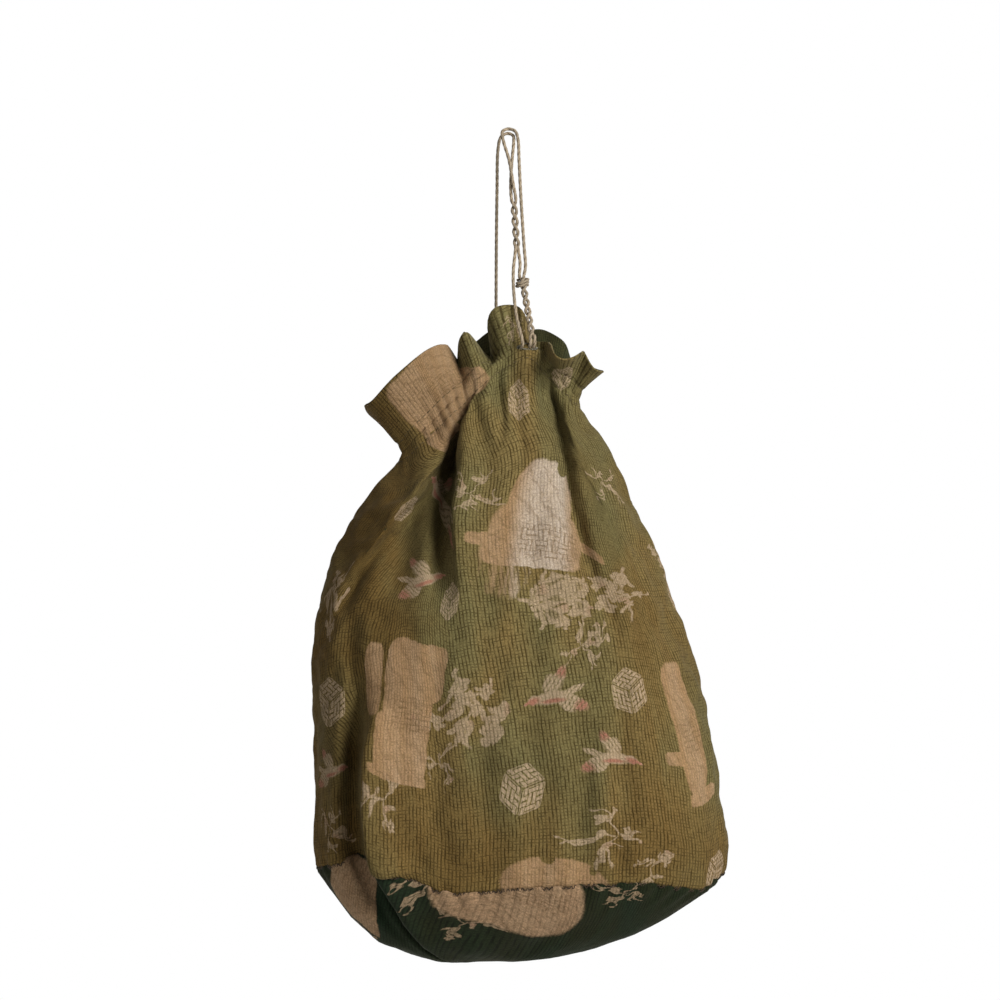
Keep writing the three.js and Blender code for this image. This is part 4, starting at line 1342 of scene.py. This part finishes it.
# The surface of a cloth or thread: colour, fine relief with its strength and depth, and gloss.
def surface(colour, height, bump, gloss):
    tree = treeOf(colour)
    raised = addNode(tree, "Bump", Strength=bump[0], Distance=bump[1], Height=height).outputs[0]
    shader = addNode(tree, "BsdfPrincipled", **{"Base Color": colour, "Normal": raised}, **gloss)
    addNode(tree, "OutputMaterial", i0=shader.outputs[0])


def clothMaterial(name, look, contrast=1.0, soilAndShade=1.0, sheen=0.03):
    look = {part: linear(*colour) for part, colour in look.items()}
    material, tree = newMaterial(name)
    weaveUv = addNode(tree, "UVMap", {"uv_map": "weave"}).outputs[0]
    place = addNode(tree, "TexCoord").outputs["Object"]
    weave = placeGroup("weave", Vector=weaveUv)
    fade = placeGroup("fade", Cloth=weaveUv, Place=place)
    ground = mixColour(times(fade["Streaks"], 0.55), look["ground"], look["groundBrown"])
    ground = mixColour(times(fade["Green"], 0.55), ground, look["groundGreen"])
    ground = mixColour(times(fade["Patches"], 0.3), ground, look["groundBrown"])
    # soil brown, browner towards the bottom; at the left, and less at the right, this brown is painted shade
    # as well as soil
    apart = split(place)
    soilAndShadeMask = highest(
        ramp(apart[2], -0.33, -0.45, 0.0, 0.45),
        ramp(apart[0], -0.015, -0.09, 0.0, 0.62),
        ramp(apart[0], 0.02, 0.08, 0.0, 0.28),
    )
    soilAndShadeMask = times(soilAndShadeMask, ramp(fade["Patches"], 0.0, 1.0, 0.6 * soilAndShade, soilAndShade))
    # mixes in the soil brown, which at the sides is painted shade
    ground = mixColour(soilAndShadeMask, ground, look["soilAndShade"])
    # printed motifs
    flat, kind = {}, {}
    for layer in ("smallPrint", "boardPrint", "sprayPrint"):
        spot = addNode(tree, "Attribute", {"attribute_name": layer}).outputs["Vector"]
        kind[layer] = split(spot)[2]
        flat[layer] = vectors("MULTIPLY", spot, (1, 1, 0))
    bird = placeGroup("bird", Vector=flat["smallPrint"])
    lattice = placeGroup("lattice", Vector=flat["smallPrint"])
    boardMarks = placeGroup("boards", Vector=flat["boardPrint"], Kind=kind["boardPrint"])
    sprayMarks = placeGroup("sprays", Vector=flat["sprayPrint"], Kind=kind["sprayPrint"])
    isBird, isLattice = (ofKind(kind["smallPrint"], motifKinds[name]) for name in ("bird", "cube"))
    small = plus(times(bird["Shape"], isBird), times(lattice["Shape"], isLattice), True)
    red = plus(times(bird["Red"], isBird), times(sprayMarks["Red"], 0.6), True)
    worn = ramp(fade["Wear"], 0.0, 1.0, 0.72, 1.0)
    boardColour = mixColour(boardMarks["Pale"], look["paleTan"], look["paleGrey"])
    boardColour = mixColour(times(fade["Streaks"], 0.35), boardColour, look["pale"])
    boardColour = mixColour(times(boardMarks["Lines"], 0.75), boardColour, look["rule"])
    colour = mixColour(times(sprayMarks["Shape"], times(worn, 0.76)), ground, look["pale"])
    colour = mixColour(times(boardMarks["Shape"], times(worn, 0.97)), colour, boardColour)
    colour = mixColour(times(small, times(worn, 0.8)), colour, look["pale"])
    colour = mixColour(times(red, 0.7), colour, look["red"])
    # weave lines over everything, fainter on the pale print
    onPrint = highest(boardMarks["Shape"], small, times(sprayMarks["Shape"], 0.7))
    lineDepth = ramp(onPrint, 0.0, 1.0, 0.8 * contrast, 0.3 * contrast)
    colour = mixColour(times(weave["Lines"], lineDepth), colour, look["line"])
    colour = shaded(0.75, colour, ramp(weave["Threads"], 0.36, 0.64, 0.62, 1.34))
    surface(colour, weave["Height"], (0.5, 0.0004), {
        "Roughness": 0.92, "Specular IOR Level": 0.08,
        "Sheen Weight": sheen, "Sheen Roughness": 0.5, "Sheen Tint": linear(214, 205, 180),
    })
    return material


printedCloth = clothMaterial("printedCloth", clothLook)
insideCloth = clothMaterial("insideCloth", innerLook, soilAndShade=0.0)
baseMaterial = clothMaterial("baseCloth", baseLook, 0.85, soilAndShade=0.0, sheen=0.04)
for piece, outside in ((bagCloth, printedCloth), (baseCloth, baseMaterial)):
    piece.data.materials.append(outside)
    piece.data.materials.append(insideCloth)
print("cloth materials made")

# hemp cord: two plies, pale on the crown of each ply and brown where they meet, the brown being painted shade
# in the grooves between the plies
hemp = {"pale": linear(166, 149, 125), "grooveShade": linear(80, 62, 42), "grey": linear(136, 124, 106)}
cordMaterial, tree = newMaterial("hempCord")
fibreUv = addNode(tree, "UVMap", {"uv_map": "fibre"}).outputs[0]
ply = addNode(tree, "Attribute", {"attribute_name": "ply"}).outputs["Fac"]
place = addNode(tree, "TexCoord").outputs["Object"]
fibre = noiseAt(scaled(fibreUv, (7000, 900, 1), Rotation=(0, 0, 0.5)), 1, 3, 0.6)
stain = ramp(noiseAt(place, 90, 3), 0.35, 0.65)
# brown in the grooves where the plies meet is painted shade
colour = mixColour(ramp(ply, 0.05, 0.6), hemp["grooveShade"], hemp["pale"])
colour = mixColour(times(stain, 0.6), colour, hemp["grey"])
colour = shaded(0.8, colour, ramp(fibre, 0.3, 0.7, 0.65, 1.15))
surface(colour, fibre, (0.6, 0.0002), {"Roughness": 0.88, "Specular IOR Level": 0.25})


def threadMaterial(name, dark, light):
    material, tree = newMaterial(name)
    mottled = noiseAt(addNode(tree, "TexCoord").outputs["Object"], 900, 3, 0.6)
    colour = mixColour(ramp(mottled, 0.35, 0.65), linear(*dark), linear(*light))
    surface(colour, mottled, (0.5, 0.0001), {"Roughness": 0.8, "Specular IOR Level": 0.3})
    return material


darkThread = threadMaterial("darkThread", (28, 20, 12), (62, 48, 32))
sewingThread = threadMaterial("sewingThread", (58, 48, 30), (96, 82, 56))
slitThread = threadMaterial("slitThread", (24, 24, 18), (150, 144, 124))

# pale floor well below the pouch; floor and sky are white to the camera and to reflections
stage = {"floor": -0.86, "half": 2.0, "glow": 0.72, "sky": 0.19}


def straightRays(tree):
    rays = addNode(tree, "LightPath").outputs
    return highest(rays["Is Camera Ray"], rays["Is Glossy Ray"], rays["Is Transmission Ray"])


sheet = bmesh.new()
bmesh.ops.create_grid(sheet, x_segments=4, y_segments=4, size=stage["half"])
bmesh.ops.translate(sheet, verts=sheet.verts, vec=(0, 0, stage["floor"]))
floorMesh = bpy.data.meshes.new("floor")
sheet.to_mesh(floorMesh)
sheet.free()
floor = added("floor", floorMesh)
paper, tree = newMaterial("paleFloor")
matt = addNode(tree, "BsdfPrincipled", **{"Base Color": (0.8, 0.8, 0.79, 1)}, Roughness=0.9)
glow = addNode(tree, "Emission", Color=(1, 1, 1, 1), Strength=times(straightRays(tree), stage["glow"]))
wash = addNode(tree, "AddShader", i0=matt.outputs[0], i1=glow.outputs[0])
addNode(tree, "OutputMaterial", i0=wash.outputs[0])
floor.data.materials.append(paper)

world = bpy.data.worlds.new("studio")
bpy.context.scene.world = world
world.use_nodes = True
tree = world.node_tree
tree.nodes.clear()
dim = addNode(tree, "Background", Color=(1, 0.985, 0.96, 1), Strength=stage["sky"])
white = addNode(tree, "Background", Color=(1, 1, 1, 1), Strength=1.0)
either = addNode(tree, "MixShader", i0=straightRays(tree), i1=dim.outputs[0], i2=white.outputs[0])
addNode(tree, "OutputWorld", i0=either.outputs[0])

# soft light: a large lamp from the upper right of the front, weak ones from the left and behind
lights = {
    "key": {"place": (1.35, -1.6, 0.75), "size": 1.1, "power": 67},
    "fill": {"place": (-1.5, -1.7, 0.3), "size": 1.6, "power": 2},
    "back": {"place": (0.4, 1.6, 0.9), "size": 1.2, "power": 20},
}
lightAim = (0, 0, -0.25)
for name, lamp in lights.items():
    data = bpy.data.lights.new(name, "AREA")
    data.size = lamp["size"]
    data.energy = lamp["power"]
    item = added(name, data)
    item.location = lamp["place"]
    aim = Vector(lightAim) - Vector(lamp["place"])
    item.rotation_euler = aim.to_track_quat("-Z", "Y").to_euler()
bpy.context.scene.view_settings.view_transform = "Standard"
print("stage and lamps set")

# what each piece rides on and stands for
casingStitchesUpper, casingStitchesLower = casingStitches
finished = [
    (bagCloth, "bag_cloth", "printed_cloth", None),
    (baseCloth, "base_cloth", "base_cloth", None),
    (seamThread, "base_seam_thread", "dark_thread", darkThread),
    (casingStitchesUpper, "casing_thread_upper", "sewing_thread", sewingThread),
    (casingStitchesLower, "casing_thread_lower", "sewing_thread", sewingThread),
    (closingThread, "closing_seam_thread", "sewing_thread", sewingThread),
    (slitPieces["front"], "front_slit_thread", "dark_thread", slitThread),
    (slitPieces["back"], "back_slit_thread", "dark_thread", slitThread),
    (firstCord, "long_drawstring", "hemp_cord", cordMaterial),
    (secondCord, "knotted_drawstring", "hemp_cord", cordMaterial),
    (knot, "cord_knot", "hemp_cord", cordMaterial),
]
for piece, node, slot, material in finished:
    if material:
        piece.data.materials.append(material)
    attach(piece, "root")
    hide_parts(node)
